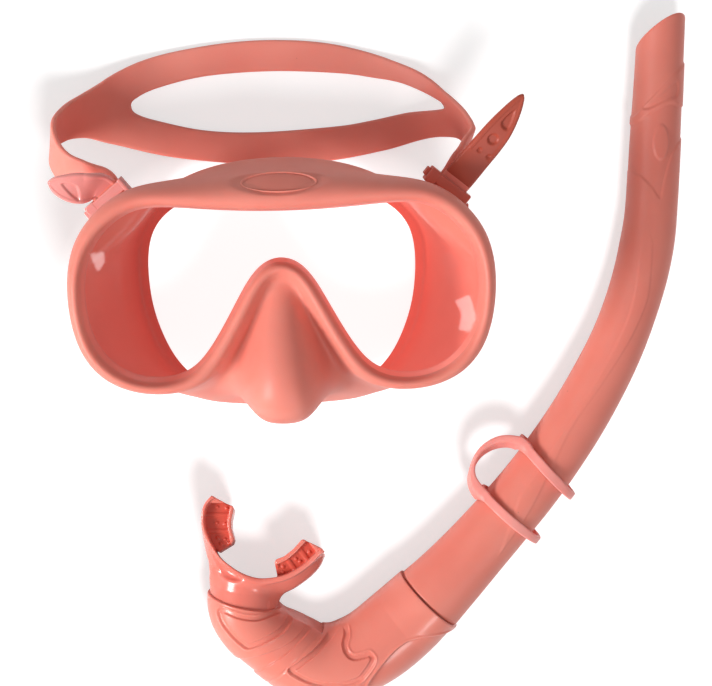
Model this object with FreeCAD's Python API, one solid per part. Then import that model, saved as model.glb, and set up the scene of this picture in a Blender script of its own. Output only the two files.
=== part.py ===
import FreeCAD, Part
import os, math

# Diving mask with split strap and ratchet buckles, and its J snorkel, laid on a table.
# Millimetres, +Z up. X = 0 is the mask's plane of symmetry, +Y runs from nose to brow,
# Z = 0 is the table. The lens faces up. "Right" is the +X side, and "inner" parts of a
# buckle are those nearer X = 0.
Vec = FreeCAD.Vector
UP = Vec(0, 0, 1)
X_AXIS = Vec(1, 0, 0)


# ---- helpers ------------------------------------------------------------------
def lerp(start, end, fraction):
    return start + (end - start) * fraction


def unit(vector):
    result = Vec(vector)
    result.normalize()
    return result


def outward_in_plan(before, after):
    """Horizontal unit normal between two neighbours of a clockwise outline."""
    normal = Vec(before.y - after.y, after.x - before.x, 0)
    normal.normalize()
    return normal


def positive(solid):
    """Turn an inside-out solid the right way round."""
    if solid.Volume < 0:
        solid.reverse()
    return solid


def loft(wires, ruled=False):
    return positive(Part.makeLoft(wires, True, ruled))


def prism(wire, height):
    return positive(Part.Face(wire).extrude(UP * height))


def polygon(points):
    return Part.makePolygon(points + [points[0]])


def plan_polygon(outline, z):
    return polygon([Vec(x, y, z) for x, y in outline])


def cylinder(start, axis, radius, length):
    return Part.makeCylinder(radius, length, start, axis)


def rounded(solid, radius):
    """Fillet every edge; the solid stays sharp if the kernel cannot fillet it."""
    try:
        fillet = solid.makeFillet(radius, solid.Edges)
        return fillet if fillet.isValid() and fillet.Volume > 0 else solid
    except Exception:
        return solid


def ring(centre, axis, half_plan, half_up, count=20):
    """Closed spline through points of an upright ellipse across a horizontal axis."""
    side = Vec(-axis.y, axis.x, 0)
    points = []
    for k in range(count):
        angle = 2 * math.pi * k / count
        points.append(centre + side * (half_plan * math.cos(angle))
                      + Vec(0, 0, half_up * math.sin(angle)))
    curve = Part.BSplineCurve()
    curve.interpolate(points, PeriodicFlag=True)
    return Part.Wire([curve.toShape()])


def save(name, shape):
    if shape.ShapeType == "Compound" and len(shape.Solids) == 1:
        shape = shape.Solids[0]
    shape.exportStep("parts/%s.step" % name)


# ---- mask body ----------------------------------------------------------------
LENS_Z0, LENS_T = 70.0, 4.0        # back of the lens, lens thickness
LENS_LAP = 2.2                     # how far the lens runs into the rim groove
SEAM_Z = 74.3                      # top seam of the skirt on the lens
WALL = 2.1                         # skirt wall
LIP_WALL = 1.5                     # face lip
RIM_WALL = 2.5                     # foot of the rim
GROOVE_IN = 1.3                    # skirt under the lens, inward from the seam
GROOVE_Z = (65.6, 69.9)
BADGE_W, BADGE_H, BADGE_T = 31.0, 10.4, 2.6
BADGE_PROUD, BADGE_CHAMFER = 0.7, 0.5
BADGE_Y, BADGE_Z, BADGE_TILT = 42.4, 74.9, 46.0

# One station per entry, from the middle of the brow clockwise to the cheek:
# seam on the lens (x, y), outside of the rim (x, y), three wall points (x, y, z),
# turn of the lip (x, y, z) and free edge of the lip (x, y, z)
SIDE = [
    ((0, 31.6), (0, 46.4), (0, 48.6, 54), (0, 50.6, 44), (0, 47.2, 33),
     (0, 39.5, 24.5), (0, 33.5, 30)),
    ((15, 31.9), (15.5, 45.9), (15.5, 47.9, 54), (15.5, 49.6, 43), (15.5, 46.2, 32),
     (15, 38.8, 24), (14.5, 33, 29.5)),
    ((30, 32.9), (31, 44.8), (30.5, 45.6, 53), (30.5, 46.4, 41.5), (30, 43.5, 29),
     (29.5, 37.5, 21.5), (28.5, 31.8, 27.5)),
    ((43, 34.1), (45, 43.7), (43, 41.6, 52), (42.5, 40.9, 38), (42, 38.5, 25),
     (41, 34.5, 17), (39.5, 28.8, 23.5)),
    ((54.8, 34.4), (57.8, 42.2), (52, 36.5, 51), (51.5, 34.5, 35), (50.5, 32.5, 20),
     (49.5, 29, 11), (47, 24.2, 18)),
    ((63.8, 31.0), (67.9, 37.3), (57.6, 27.2, 50), (58, 27.2, 33), (57.2, 25.6, 16),
     (56, 23, 6), (51.5, 18.8, 14)),
    ((71.3, 25.0), (76.3, 29.9), (64.6, 20.2, 50), (64.5, 20.2, 32), (63, 18.6, 13),
     (60.5, 16, -0.6), (54, 13, 11.5)),
    ((77.0, 17.1), (82.8, 20.6), (71.8, 13.8, 50), (70, 13.6, 32), (66.5, 12, 12),
     (62.5, 9, -4.9), (55.2, 6.5, 10.5)),
    ((80.1, 7.5), (86.0, 8.7), (79.2, 7, 51), (73.5, 6, 32), (68, 4.5, 11.5),
     (63, 2, -5.7), (55.6, 0, 10.3)),
    ((80.7, -3.0), (86.3, -3.5), (81, -3.5, 52), (74.5, -4, 32), (68.3, -5, 11),
     (62.8, -6, -5.8), (55.3, -6.5, 10.3)),
    ((79.4, -13.6), (84.9, -14.8), (80, -14.5, 52), (73.8, -14.5, 32), (67.5, -15, 11),
     (61.8, -15, -5.8), (54.5, -14, 10.5)),
    ((75.9, -23.6), (81.4, -26.0), (76.5, -25, 51), (71, -25.5, 32), (65.2, -25.5, 11),
     (59.5, -24, -5.4), (52.7, -21.8, 11)),
    ((69.2, -31.4), (73.9, -35.7), (70.5, -34.5, 50), (66, -35.5, 31), (61, -35.5, 11.5),
     (55.8, -33, -2.6), (49.8, -29.5, 12)),
    ((60.9, -36.2), (63.1, -41.2), (61.5, -41.5, 50), (58.5, -43.5, 31), (55, -44, 12.5),
     (50.8, -40.8, 2.5), (46.2, -36.8, 13.5)),
    ((51.5, -37.8), (51.8, -43.0), (51.5, -45, 50), (50, -48.5, 32), (48, -50, 15.5),
     (44.8, -47, 6.5), (41.8, -42.2, 15.5)),
    ((43, -36.9), (41.5, -42.3), (42.5, -46.5, 50), (41.8, -51.5, 34), (40.5, -54, 19.5),
     (38.5, -51.8, 11), (36.5, -46, 18.5)),
    ((36.2, -34.0), (33, -39.6), (34.5, -46, 50), (34, -52, 36), (33.5, -56, 23.5),
     (32.5, -55, 15), (31, -48.5, 21.5)),
]
# How far the upper wall has moved from rim to first wall point, by station: deeper
# behind the buckles
UNDERCUT = {4: 0.6, 5: 0.8, 6: 0.82, 7: 0.76, 8: 0.58}
UNDERCUT_DEFAULT = 0.5
# Rim section, as (fraction from seam to rim, z) pairs: at the sides and at the brow
RIM_SIDE = [(0.12, 78.0), (0.60, 78.8), (1.02, 74.5), (1.03, 67.0)]
RIM_BROW = [(0.05, 78.6), (0.42, 81.0), (0.90, 75.5), (1.02, 66.0)]
# The nose pocket, cheek to middle: thirteen points (x, y, z) a station, from the lens
# seam over the bead, down the valley, along the nose and back to the upper-lip edge
NOSE = [
    [(31.2, -29.2, 74.3), (30.3, -30.1, 78), (28.6, -32.4, 78.6), (27.2, -34.6, 74.5),
     (27, -36.2, 68), (27.2, -39, 62), (27.6, -43, 54), (28, -47.5, 46), (28, -51.5, 38),
     (27.6, -54.5, 30), (27, -57, 25), (26.5, -56.8, 17.5), (25.5, -50, 23.5)],
    [(26.6, -22.8, 74.3), (25.7, -23.5, 78), (23.8, -25.2, 78.6), (22, -27, 74.5),
     (21.4, -29.5, 67.5), (21.8, -34, 64.5), (22.6, -39.5, 61), (22.6, -44.5, 54),
     (22, -48.5, 45), (21.3, -52, 35), (20.8, -57, 27), (20.5, -58, 19.3), (20, -50.8, 25)],
    [(21.8, -14.6, 74.3), (20.8, -15.2, 78), (18.7, -16.6, 78.6), (16.8, -18.2, 74.5),
     (16, -21.5, 68.5), (16.6, -28.5, 68.5), (18, -36, 68), (18.6, -44, 63.5), (17.8, -49, 52),
     (16.4, -50.5, 40), (15.5, -56.5, 28.5), (15.2, -58.6, 20.5), (14.8, -51, 26.3)],
    [(17, -5.7, 74.3), (16, -6.2, 78), (13.9, -7.5, 78.6), (12, -9, 74.5), (11.2, -12.5, 70),
     (11.6, -21, 72.5), (13, -32, 75), (13.8, -44, 72.5), (13.4, -51, 59), (11.9, -50.8, 42),
     (10.8, -56.5, 29.5), (10.4, -59, 21.5), (10, -51.2, 27)],
    [(12, 3.3, 74.3), (11, 2.6, 78), (9.2, 1.2, 78.6), (7.7, -0.5, 74.5), (7, -4.5, 71),
     (7.2, -15, 76), (8.2, -28.5, 81.5), (8.8, -44, 81.5), (8.6, -54, 65.5), (7.6, -51.3, 44),
     (6.8, -56.5, 30.2), (6.5, -59.3, 22), (6.2, -51.3, 27.7)],
    [(6.4, 9.3, 74.3), (5.8, 8.2, 78), (4.8, 6.4, 78.6), (4, 4.2, 74.5), (3.6, 0, 72),
     (3.6, -12, 78), (4, -27, 85), (4.3, -45, 87.5), (4.2, -57, 70.5), (3.7, -51.8, 45),
     (3.3, -56.5, 30.7), (3.2, -59.5, 22.2), (3, -51.4, 28)],
    [(0, 11.2, 74.3), (0, 9.8, 78), (0, 7.8, 78.6), (0, 5.4, 74.5), (0, 1.5, 72.3),
     (0, -11, 78.8), (0, -26.5, 86.5), (0, -45, 89.5), (0, -58, 72), (0, -52, 45.5),
     (0, -56.5, 31), (0, -59.6, 22.4), (0, -51.4, 28.2)],
]


def outer_half():
    """Thirteen outside points for each station on the right, from brow to nose."""
    rows = []
    for i, (seam, rim, wall1, wall2, wall3, lip, free) in enumerate(SIDE):
        brow = max(0.0, min(1.0, (4.6 - i) / 1.6))
        row = [Vec(seam[0], seam[1], SEAM_Z)]
        for (side_k, side_z), (brow_k, brow_z) in zip(RIM_SIDE, RIM_BROW):
            fraction = lerp(side_k, brow_k, brow)
            row.append(Vec(lerp(seam[0], rim[0], fraction), lerp(seam[1], rim[1], fraction),
                           lerp(side_z, brow_z, brow)))
        foot = row[-1]
        under = UNDERCUT.get(i, UNDERCUT_DEFAULT)
        row.append(Vec(lerp(foot.x, wall1[0], under), lerp(foot.y, wall1[1], under),
                       60.5 + 2 * (under - UNDERCUT_DEFAULT)))
        upper, middle, lower = Vec(*wall1), Vec(*wall2), Vec(*wall3)
        row += [upper, (upper + middle) * 0.5, middle, (middle + lower) * 0.5, lower,
                Vec(*lip), Vec(*free)]
        rows.append(row)
    for points in NOSE:
        rows.append([Vec(*point) for point in points])
    return rows


def skirt_cage():
    """Closed pole sections right round the mask, clockwise from the middle of the brow."""
    half = outer_half()
    full = half + [[Vec(-p.x, p.y, p.z) for p in row] for row in half[-2:0:-1]]
    thickness = {11: LIP_WALL, 10: (LIP_WALL + WALL) / 2, 4: RIM_WALL}
    sections = []
    for i, row in enumerate(full):
        before, after = full[i - 1], full[(i + 1) % len(full)]
        inside = []
        for k in range(11, 3, -1):
            normal = unit((after[k] - before[k]).cross(row[k + 1] - row[k - 1]))
            inside.append(row[k] - normal * thickness.get(k, WALL))
        back = row[0] - outward_in_plan(before[0], after[0]) * GROOVE_IN
        sections.append(row + inside + [Vec(back.x, back.y, z) for z in GROOVE_Z])
    return sections


def torus_solid(grid):
    # the other way round the mask, so that the faces point outward
    grid = [grid[0]] + grid[:0:-1]
    rows, columns = len(grid), len(grid[0])
    surface = Part.BSplineSurface()
    surface.buildFromPolesMultsKnots(
        grid, [1] * (rows + 1), [1] * (columns + 1),
        list(range(rows + 1)), list(range(columns + 1)), True, True, 3, 3)
    return Part.Solid(Part.Shell([surface.toShape()]))


def make_lens(cage):
    seam = [row[0] for row in cage]
    poles = []
    for i, point in enumerate(seam):
        out = outward_in_plan(seam[i - 1], seam[(i + 1) % len(seam)])
        poles.append(Vec(point.x + out.x * LENS_LAP, point.y + out.y * LENS_LAP, LENS_Z0))
    count = len(poles)
    curve = Part.BSplineCurve()
    curve.buildFromPolesMultsKnots(poles, [1] * (count + 1), list(range(count + 1)), True, 3)
    return prism(Part.Wire([curve.toShape()]), LENS_T)


def make_badge():
    """Shallow oval inlay on the sloping top of the rim."""
    outline = Part.Ellipse(Vec(0, 0, 0), BADGE_W / 2, BADGE_H / 2).toShape()
    badge = Part.Face(Part.Wire([outline])).extrude(Vec(0, 0, BADGE_T))
    top_edges = [edge for edge in badge.Edges
                 if abs(edge.BoundBox.ZMin - BADGE_T) < 1e-6
                 and abs(edge.BoundBox.ZMax - BADGE_T) < 1e-6]
    badge = badge.makeChamfer(BADGE_CHAMFER, top_edges)
    badge.translate(Vec(0, 0, -BADGE_T + BADGE_PROUD))
    badge.rotate(Vec(0, 0, 0), X_AXIS, -BADGE_TILT)
    badge.translate(Vec(0, BADGE_Y, BADGE_Z))
    return badge


def make_skirt(cage, lens, badge):
    skirt = torus_solid(cage).cut(lens)
    # nothing reaches below the table
    skirt = skirt.cut(Part.makeBox(300, 300, 20, Vec(-150, -150, -20)))
    return skirt.cut(badge)


# ---- buckles ------------------------------------------------------------------
# Laid out for the right side and mirrored for the left; the release button sits in the
# inner arm on the right and in the outer arm on the left.
# Buckle frame: "along" runs down the bar, "away" leads away from the mask, z is world z.
BAR_MIDDLE = Vec(69.8, 37.9, 0)
ALONG = Vec(0.770, -0.638, 0)
AWAY = Vec(0.638, 0.770, 0)
PIVOT_Y, PIVOT_Z = 21.0, 48.0      # stud axis, parallel to X
LOOP_Z = 50.0                      # height of the buckle's bar and roller
HUB_X0, HUB_X1, HUB_R = 73.5, 77.1, 4.2
WEB_L, WEB_H = 8.6, 4.6            # box joining the hub to the outer arm
BASE_HALF_H = 6.0
STUD_X0, STUD_R, STUD_CLEAR = 68.0, 2.2, 0.05
HEAD_GAP, HEAD_R, HEAD_T = 0.15, 3.3, 1.1
HEAD_RECESS_R = 3.6
ROLLER_AWAY, ROLLER_R, ROLLER_END_GAP = -6.5, 2.4, 0.15
PIN_R, PIN_IN_ARM, ROLLER_CLEAR = 1.0, 1.5, 0.05
BAR_R = 1.2
ARM_IN, ARM_OUT = -5.9, 7.1        # facing sides of the frame's two arms
ARM_GAP = ARM_OUT - ARM_IN
OUTER_ARM_T = 2.2
INNER_ARM_T = OUTER_ARM_T - 0.4
ARM_HALF_H = 3.2
ARM_AWAY0, CHEEK_AWAY0, ARM_AWAY1 = -9.0, -5.2, 1.4   # arm and cheek ends
BRIDGE_Z0, BRIDGE_Z1 = 55.5, 57.4
HOUSING = 4.5                      # thickness of the arm that holds the button
BUTTON_TRAVEL, BUTTON_CLEAR = 1.5, 0.1
BUTTON_IN, SLOT_DEPTH = 1.6, 3.2
SLOT_AWAY0, SLOT_AWAY1 = -3.5, 0.3
SLOT_Z0, SLOT_Z1 = LOOP_Z - 0.8, LOOP_Z + 5.0


def buckle_point(along, away, z):
    return BAR_MIDDLE + ALONG * along + AWAY * away + Vec(0, 0, z)


def block(along0, along1, away0, away1, z0, z1):
    corners = [(along0, away0), (along1, away0), (along1, away1), (along0, away1)]
    return prism(polygon([buckle_point(along, away, z0) for along, away in corners]), z1 - z0)


def pivot_cylinder(x, radius, length):
    return cylinder(Vec(x, PIVOT_Y, PIVOT_Z), X_AXIS, radius, length)


def make_buckle_base():
    base = rounded(block(8.5, 13.8, -17.5, -11.7, PIVOT_Z - BASE_HALF_H, PIVOT_Z + BASE_HALF_H),
                   1.0)
    return base.cut(pivot_cylinder(STUD_X0, STUD_R, 10))


def make_swivel_stud():
    head_x = HUB_X1 + HEAD_GAP
    stud = pivot_cylinder(STUD_X0, STUD_R, head_x - STUD_X0)
    return stud.fuse(pivot_cylinder(head_x, HEAD_R, HEAD_T)).removeSplitter()


def make_roller_pin():
    return cylinder(buckle_point(ARM_IN - PIN_IN_ARM, ROLLER_AWAY, LOOP_Z), ALONG,
                    PIN_R, ARM_GAP + 2 * PIN_IN_ARM)


def make_strap_roller():
    roller = cylinder(buckle_point(ARM_IN + ROLLER_END_GAP, ROLLER_AWAY, LOOP_Z), ALONG,
                      ROLLER_R, ARM_GAP - 2 * ROLLER_END_GAP)
    return roller.cut(cylinder(buckle_point(ARM_IN - 1, ROLLER_AWAY, LOOP_Z), ALONG,
                               PIN_R + ROLLER_CLEAR, ARM_GAP + 2))


def arm_ends(button_inner):
    """Far sides of the inner and outer arm; the arm with the button is the thick one."""
    return (ARM_IN - (HOUSING if button_inner else INNER_ARM_T),
            ARM_OUT + (OUTER_ARM_T if button_inner else HOUSING))


def make_frame(button_inner, pin):
    end_in, end_out = arm_ends(button_inner)
    low, high = LOOP_Z - ARM_HALF_H, LOOP_Z + ARM_HALF_H
    frame = pivot_cylinder(HUB_X0, HUB_R, HUB_X1 - HUB_X0)
    frame = frame.fuse(block(ARM_OUT, ARM_OUT + OUTER_ARM_T, ARM_AWAY0, ARM_AWAY1, low, high))
    frame = frame.fuse(block(ARM_IN - INNER_ARM_T, ARM_IN, ARM_AWAY0, ARM_AWAY1, low, high))
    # taller cheeks on the arms, the bridge over the strap and the bar below it
    for start, end in ((end_in, ARM_IN), (ARM_OUT, end_out)):
        frame = frame.fuse(rounded(block(start, end, CHEEK_AWAY0, ARM_AWAY1, low, BRIDGE_Z1),
                                   0.6))
    frame = frame.fuse(rounded(block(ARM_IN - 1.2, ARM_OUT + 1.2, -3.4, 1.0,
                                     BRIDGE_Z0, BRIDGE_Z1 - 0.1), 0.4))
    frame = frame.fuse(cylinder(buckle_point(ARM_IN - 0.8, 0, LOOP_Z), ALONG,
                                BAR_R, ARM_GAP + 1.8))
    frame = frame.fuse(Part.makeBox(HUB_X1 - HUB_X0, WEB_L, WEB_H, Vec(HUB_X0, PIVOT_Y, low)))
    # stud hole, room for the stud head, pin holes
    frame = frame.cut(pivot_cylinder(HUB_X0 - 3, STUD_R + STUD_CLEAR, 12))
    frame = frame.cut(pivot_cylinder(HUB_X1, HEAD_RECESS_R, 10))
    frame = frame.cut(pin)
    if button_inner:
        slot = (end_in - 1, end_in + SLOT_DEPTH)
    else:
        slot = (end_out - SLOT_DEPTH, end_out + 1)
    return frame.cut(block(*slot, SLOT_AWAY0, SLOT_AWAY1, SLOT_Z0, SLOT_Z1))


def make_button(button_inner):
    end_in, end_out = arm_ends(button_inner)
    if button_inner:
        span = (end_in - BUTTON_TRAVEL, end_in + BUTTON_IN)
    else:
        span = (end_out - BUTTON_IN, end_out + BUTTON_TRAVEL)
    return rounded(block(*span, SLOT_AWAY0 + BUTTON_CLEAR, SLOT_AWAY1 - BUTTON_CLEAR,
                         SLOT_Z0 + BUTTON_CLEAR, SLOT_Z1 - BUTTON_CLEAR), 0.5)


def buckle_parts(button_inner):
    pin = make_roller_pin()
    return {
        "buckle_base": make_buckle_base(),
        "swivel_stud": make_swivel_stud(),
        "buckle_frame": make_frame(button_inner, pin),
        "roller_pin": pin,
        "strap_roller": make_strap_roller(),
        "release_button": make_button(button_inner),
    }


# ---- strap --------------------------------------------------------------------
STRAP_T = 2.2
STRAP_HALF = 6.2                   # half width of the strap in the buckle
STRAP_ALONG = 0.6                  # middle of the strap along the bar
WRAP_R = ROLLER_R + 0.2 + STRAP_T / 2      # middle of the strap round the roller
WRAP_TOP, WRAP_BOTTOM = LOOP_Z + WRAP_R, LOOP_Z - WRAP_R

# Ribbon stations run from the right free end, through both buckles, to the left one.
# Across directions need not be unit length and are squared to the path later.
FLAT_RIGHT = ALONG * -1
LEAN_RIGHT = FLAT_RIGHT * 0.95 + UP * 0.30
FLAT_LEFT = Vec(ALONG.x, -ALONG.y, 0)

# Buckle frame: along, away, z, across direction (world), half width
RIGHT_TAIL = [
    (-1.2, 46.0, 63.0, LEAN_RIGHT, 1.2),
    (-0.5, 41.6, 62.6, LEAN_RIGHT, 4.0),
    (0.2, 34.0, 61.6, LEAN_RIGHT, 6.0),
    (0.5, 24.0, 60.0, LEAN_RIGHT, STRAP_HALF),
    (0.5, 13.5, 57.8, FLAT_RIGHT + UP * 0.2, STRAP_HALF),
    (STRAP_ALONG, 5.5, 55.6, FLAT_RIGHT + UP * 0.06, STRAP_HALF),
    (STRAP_ALONG, 1.0, WRAP_TOP + 0.3, FLAT_RIGHT, STRAP_HALF),
    (STRAP_ALONG, ROLLER_AWAY + 1.5, WRAP_TOP, FLAT_RIGHT, STRAP_HALF),
]
RIGHT_EXIT = [(STRAP_ALONG - 0.2, 3.8, WRAP_BOTTOM - 1.0, Vec(-0.75, 0.62, 0.14), STRAP_HALF)]
LEFT_ENTRY = [
    (STRAP_ALONG + 0.5, 4.2, 55.9, Vec(0.75, 0.66, 0.01), 6.2),
    (STRAP_ALONG, 1.3, WRAP_TOP + 0.45, FLAT_LEFT, 6.1),
    (STRAP_ALONG, -3.4, WRAP_TOP, FLAT_LEFT, STRAP_HALF),
]
LEFT_EXIT = [(STRAP_ALONG, 3.8, WRAP_BOTTOM - 1.3, Vec(0.77, 0.638, 0.08), 6.6)]

# World frame: centre, across direction, half width
RIGHT_RUN = [
    ((75.0, 45.4, 44.2), (-0.66, 0.50, 0.50), 6.6),
    ((77.4, 49.0, 42.2), (-0.42, 0.28, 0.86), 7.1),
    ((79.3, 52.2, 39.0), (-0.12, 0.10, 0.98), 7.7),
    ((80.7, 54.8, 35.0), (0.0, 0.10, 0.99), 8.2),
    ((80.2, 58.6, 27.6), (0.06, 0.42, 0.90), 8.8),
    ((75.6, 62.2, 19.2), (0.08, 0.72, 0.69), 9.5),
    ((69.0, 64.6, 12.6), (0.03, 0.93, 0.37), 11.2),
    ((59.0, 66.8, 7.4), (0, 0.99, 0.14), 15.4),
    ((45.0, 68.0, 4.2), (0, 1, 0), 20.0),
    ((24.0, 69.2, 2.0), (0, 1, 0), 24.8),
]
STRAP_MIDDLE = [((-3.0, 69.9, 1.5), (0, 1, 0), 26.6)]
LEFT_TAIL = [
    ((-93.4, 45.6, 60.4), (0.5, 0.8, 0.30), 1.2),
    ((-91.2, 43.9, 60.4), (0.5, 0.8, 0.30), 4.2),
    ((-86.8, 41.2, 60.2), (0.5, 0.8, 0.28), 7.2),
    ((-83.6, 40.2, 59.8), (0.52, 0.8, 0.22), 7.1),
    ((-80.5, 39.8, 59.2), (0.56, 0.81, 0.10), 6.8),
]
LEFT_RUN = [
    ((-76.6, 42.4, 43.6), (0.72, 0.58, 0.34), 7.4),
    ((-81.0, 45.0, 42.0), (0.64, 0.55, 0.54), 8.4),
    ((-87.0, 49.4, 39.0), (0.46, 0.46, 0.76), 9.0),
    ((-91.4, 55.6, 33.8), (0.28, 0.40, 0.87), 9.4),
    ((-92.2, 61.4, 27.6), (0.04, 0.45, 0.89), 9.4),
    ((-88.6, 65.0, 19.6), (-0.04, 0.70, 0.71), 9.6),
    ((-81.8, 66.9, 13.0), (-0.02, 0.92, 0.39), 10.6),
    ((-72.0, 68.0, 7.8), (0, 0.99, 0.14), 14.4),
    ((-58.0, 69.2, 4.6), (0, 1, 0), 19.4),
    ((-30.0, 69.9, 2.0), (0, 1, 0), 24.8),
]
# Outline (x, y) of the opening that splits the strap
STRAP_HOLE = [
    (71.0, 67.2), (55, 76.2), (39.8, 79.6), (24.7, 81.8), (-3, 83.2), (-30.9, 81.7),
    (-51.2, 77.2), (-61, 72.8), (-62.8, 69.6), (-60.6, 66.4), (-51.7, 63.2), (-31.5, 58.6),
    (-8, 57.3), (24.3, 59.0), (39.6, 61.2), (54.8, 64.4)]


def world_stations(rows):
    return [(Vec(*centre), Vec(*across), half) for centre, across, half in rows]


def buckle_stations(rows, side):
    """Stations in the buckle frame; side is 1 on the right and -1 on the left."""
    stations = []
    for along, away, z, across, half in rows:
        point = buckle_point(along, away, z)
        stations.append((Vec(side * point.x, point.y, point.z), across, half))
    return stations


def roller_wrap(flat):
    """Half a turn round the roller, from top to bottom, and back under the bar."""
    path = []
    for k in range(7):
        angle = math.radians(90 + 30 * k)
        path.append((ROLLER_AWAY + WRAP_R * math.cos(angle), LOOP_Z + WRAP_R * math.sin(angle)))
    path += [(ROLLER_AWAY + 2.0, WRAP_BOTTOM), (0.5, WRAP_BOTTOM - 0.4)]
    return [(STRAP_ALONG, away, z, flat, STRAP_HALF) for away, z in path]


def make_strap():
    right = buckle_stations(RIGHT_TAIL + roller_wrap(FLAT_RIGHT) + RIGHT_EXIT, 1)
    right += world_stations(RIGHT_RUN)
    left = world_stations(LEFT_TAIL)
    left += buckle_stations(LEFT_ENTRY + roller_wrap(FLAT_LEFT) + LEFT_EXIT, -1)
    left += world_stations(LEFT_RUN)
    stations = right + world_stations(STRAP_MIDDLE) + left[::-1]
    wires = []
    for i, (centre, across, half) in enumerate(stations):
        before = stations[max(0, i - 1)][0]
        after = stations[min(len(stations) - 1, i + 1)][0]
        path = unit(after - before)
        across = unit(across - path * across.dot(path))
        rise = unit(path.cross(across)) * (STRAP_T / 2)
        reach = across * half
        wires.append(polygon([centre + reach + rise, centre - reach + rise,
                              centre - reach - rise, centre + reach - rise]))
    strap = loft(wires, ruled=True)
    curve = Part.BSplineCurve()
    curve.interpolate([Vec(x, y, -5) for x, y in STRAP_HOLE], PeriodicFlag=True)
    return strap.cut(Part.Face(Part.Wire([curve.toShape()])).extrude(Vec(0, 0, 30)))


# ---- snorkel tube and coupling sleeve -----------------------------------------
TUBE_WALL = 2.0
# x, y, z of the centre line, outside radius; from the open top to the seam
TUBE = [
    (162.55, 105.0, 12.0, 10.8), (158.95, 24.0, 12.0, 10.8), (157.5, 8.5, 12.2, 11.1),
    (154.6, -6.5, 12.6, 11.35), (150.2, -21.4, 13.0, 11.6), (144.4, -36.5, 13.5, 11.9),
    (137.2, -51.3, 14.0, 12.3), (127.3, -68.6, 15.0, 12.65), (115.9, -85.6, 15.8, 13.0),
    (104.6, -100.6, 16.3, 13.3), (92.9, -114.4, 16.6, 13.7), (83.0, -125.6, 16.9, 14.2),
    (75.2, -134.2, 17.1, 14.8), (67.9, -141.9, 17.3, 15.5), (61.6, -148.3, 17.4, 16.3)]
TOP_EXTRA = 3.0                            # added at the top before the angled cut
TOP_CUT_POINT = Vec(160.6, 97.4, 12)
TOP_CUT_X, TOP_CUT_Y = -0.59, 0.807        # plan direction of the angled cut's normal
TOP_LEAN = 14.0                            # the cut also leans back, degrees
SEAM = Vec(*TUBE[-1][:3])                  # tube meets elbow
SEAM_DIR = Vec(0.701, 0.713, 0)            # up the tube
SLEEVE_RO, SLEEVE_RI, SLEEVE_L = 13.0, 11.4, 26.0
SLEEVE_CLEAR = 0.06


def tube_sections(shrink, past_seam=0.0):
    """(centre, direction up the tube, radius) at each station."""
    centres = [Vec(*row[:3]) for row in TUBE]
    last = len(TUBE) - 1
    sections = []
    for i, centre in enumerate(centres):
        above = centres[max(0, i - 1)]
        # station 1 ends the straight length and keeps its direction
        below = centre if i == 1 else centres[min(last, i + 1)]
        direction = SEAM_DIR if i == last else unit(above - below)
        if i == 0:
            centre = centre + direction * TOP_EXTRA
        if i == last:
            centre = centre - direction * past_seam
        sections.append((centre, direction, TUBE[i][3] - shrink))
    return sections


def straight_part(sections, extra=0.0):
    (end, direction, radius), (start, _, _) = sections[:2]
    return cylinder(start, direction, radius, (end - start).Length + extra)


def curved_part(sections):
    return loft([Part.Wire([Part.Circle(centre, direction, radius).toShape()])
                 for centre, direction, radius in sections[1:]])


def make_tube():
    outside = tube_sections(0)
    inside = tube_sections(TUBE_WALL, past_seam=0.5)
    tube = straight_part(outside).fuse(curved_part(outside))
    tube = tube.cut(straight_part(inside, extra=2)).cut(curved_part(inside))
    cutter = Part.makeBox(120, 60, 80, Vec(-60, 0, -40))
    cutter.rotate(Vec(0, 0, 0), X_AXIS, -TOP_LEAN)
    cutter.rotate(Vec(0, 0, 0), UP, math.degrees(math.atan2(TOP_CUT_Y, TOP_CUT_X)) - 90)
    cutter.translate(TOP_CUT_POINT)
    tube = tube.cut(cutter)
    # socket for the upper half of the sleeve
    return tube.cut(cylinder(SEAM - SEAM_DIR * 1.0, SEAM_DIR, SLEEVE_RO, SLEEVE_L / 2 + 1.0))


def make_sleeve():
    half = SLEEVE_L / 2
    sleeve = cylinder(SEAM - SEAM_DIR * half, SEAM_DIR, SLEEVE_RO, SLEEVE_L)
    return sleeve.cut(cylinder(SEAM - SEAM_DIR * (half + 1), SEAM_DIR, SLEEVE_RI, SLEEVE_L + 2))


# ---- elbow and mouthpiece -----------------------------------------------------
# x, y, outside radius in plan; from the seam round to the mouth
ELBOW = [
    (61.3, -148.6, 17.2), (49.8, -159.6, 18.3), (37.0, -169.0, 19.1), (24.5, -175.4, 19.2),
    (12.2, -177.8, 18.9), (0.8, -174.4, 18.3), (-8.2, -167.2, 17.8), (-14.6, -159.4, 17.5),
    (-18.3, -152.2, 17.1), (-19.6, -146.6, 16.4)]
ELBOW_Z, ELBOW_HALF_H, ELBOW_WALL = SEAM.z, 16.2, 2.6
ELBOW_BULGE = 0.6                          # extra half height at stations 2 to 5
ELBOW_END_DIR = unit(Vec(0.10, -0.995, 0))
SEAM_GAP = 0.12
COLLAR_WALL, COLLAR_L = 2.6, 14.0          # collar inside the elbow, round the sleeve
MOUTH = Vec(-19.7, -146.4, ELBOW_Z)
MOUTH_AXIS = unit(Vec(0.16, 0.987, 0))     # out of the elbow
SPIGOT = (13.6, 13.4)                      # half sizes of the neck inside the elbow
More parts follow.
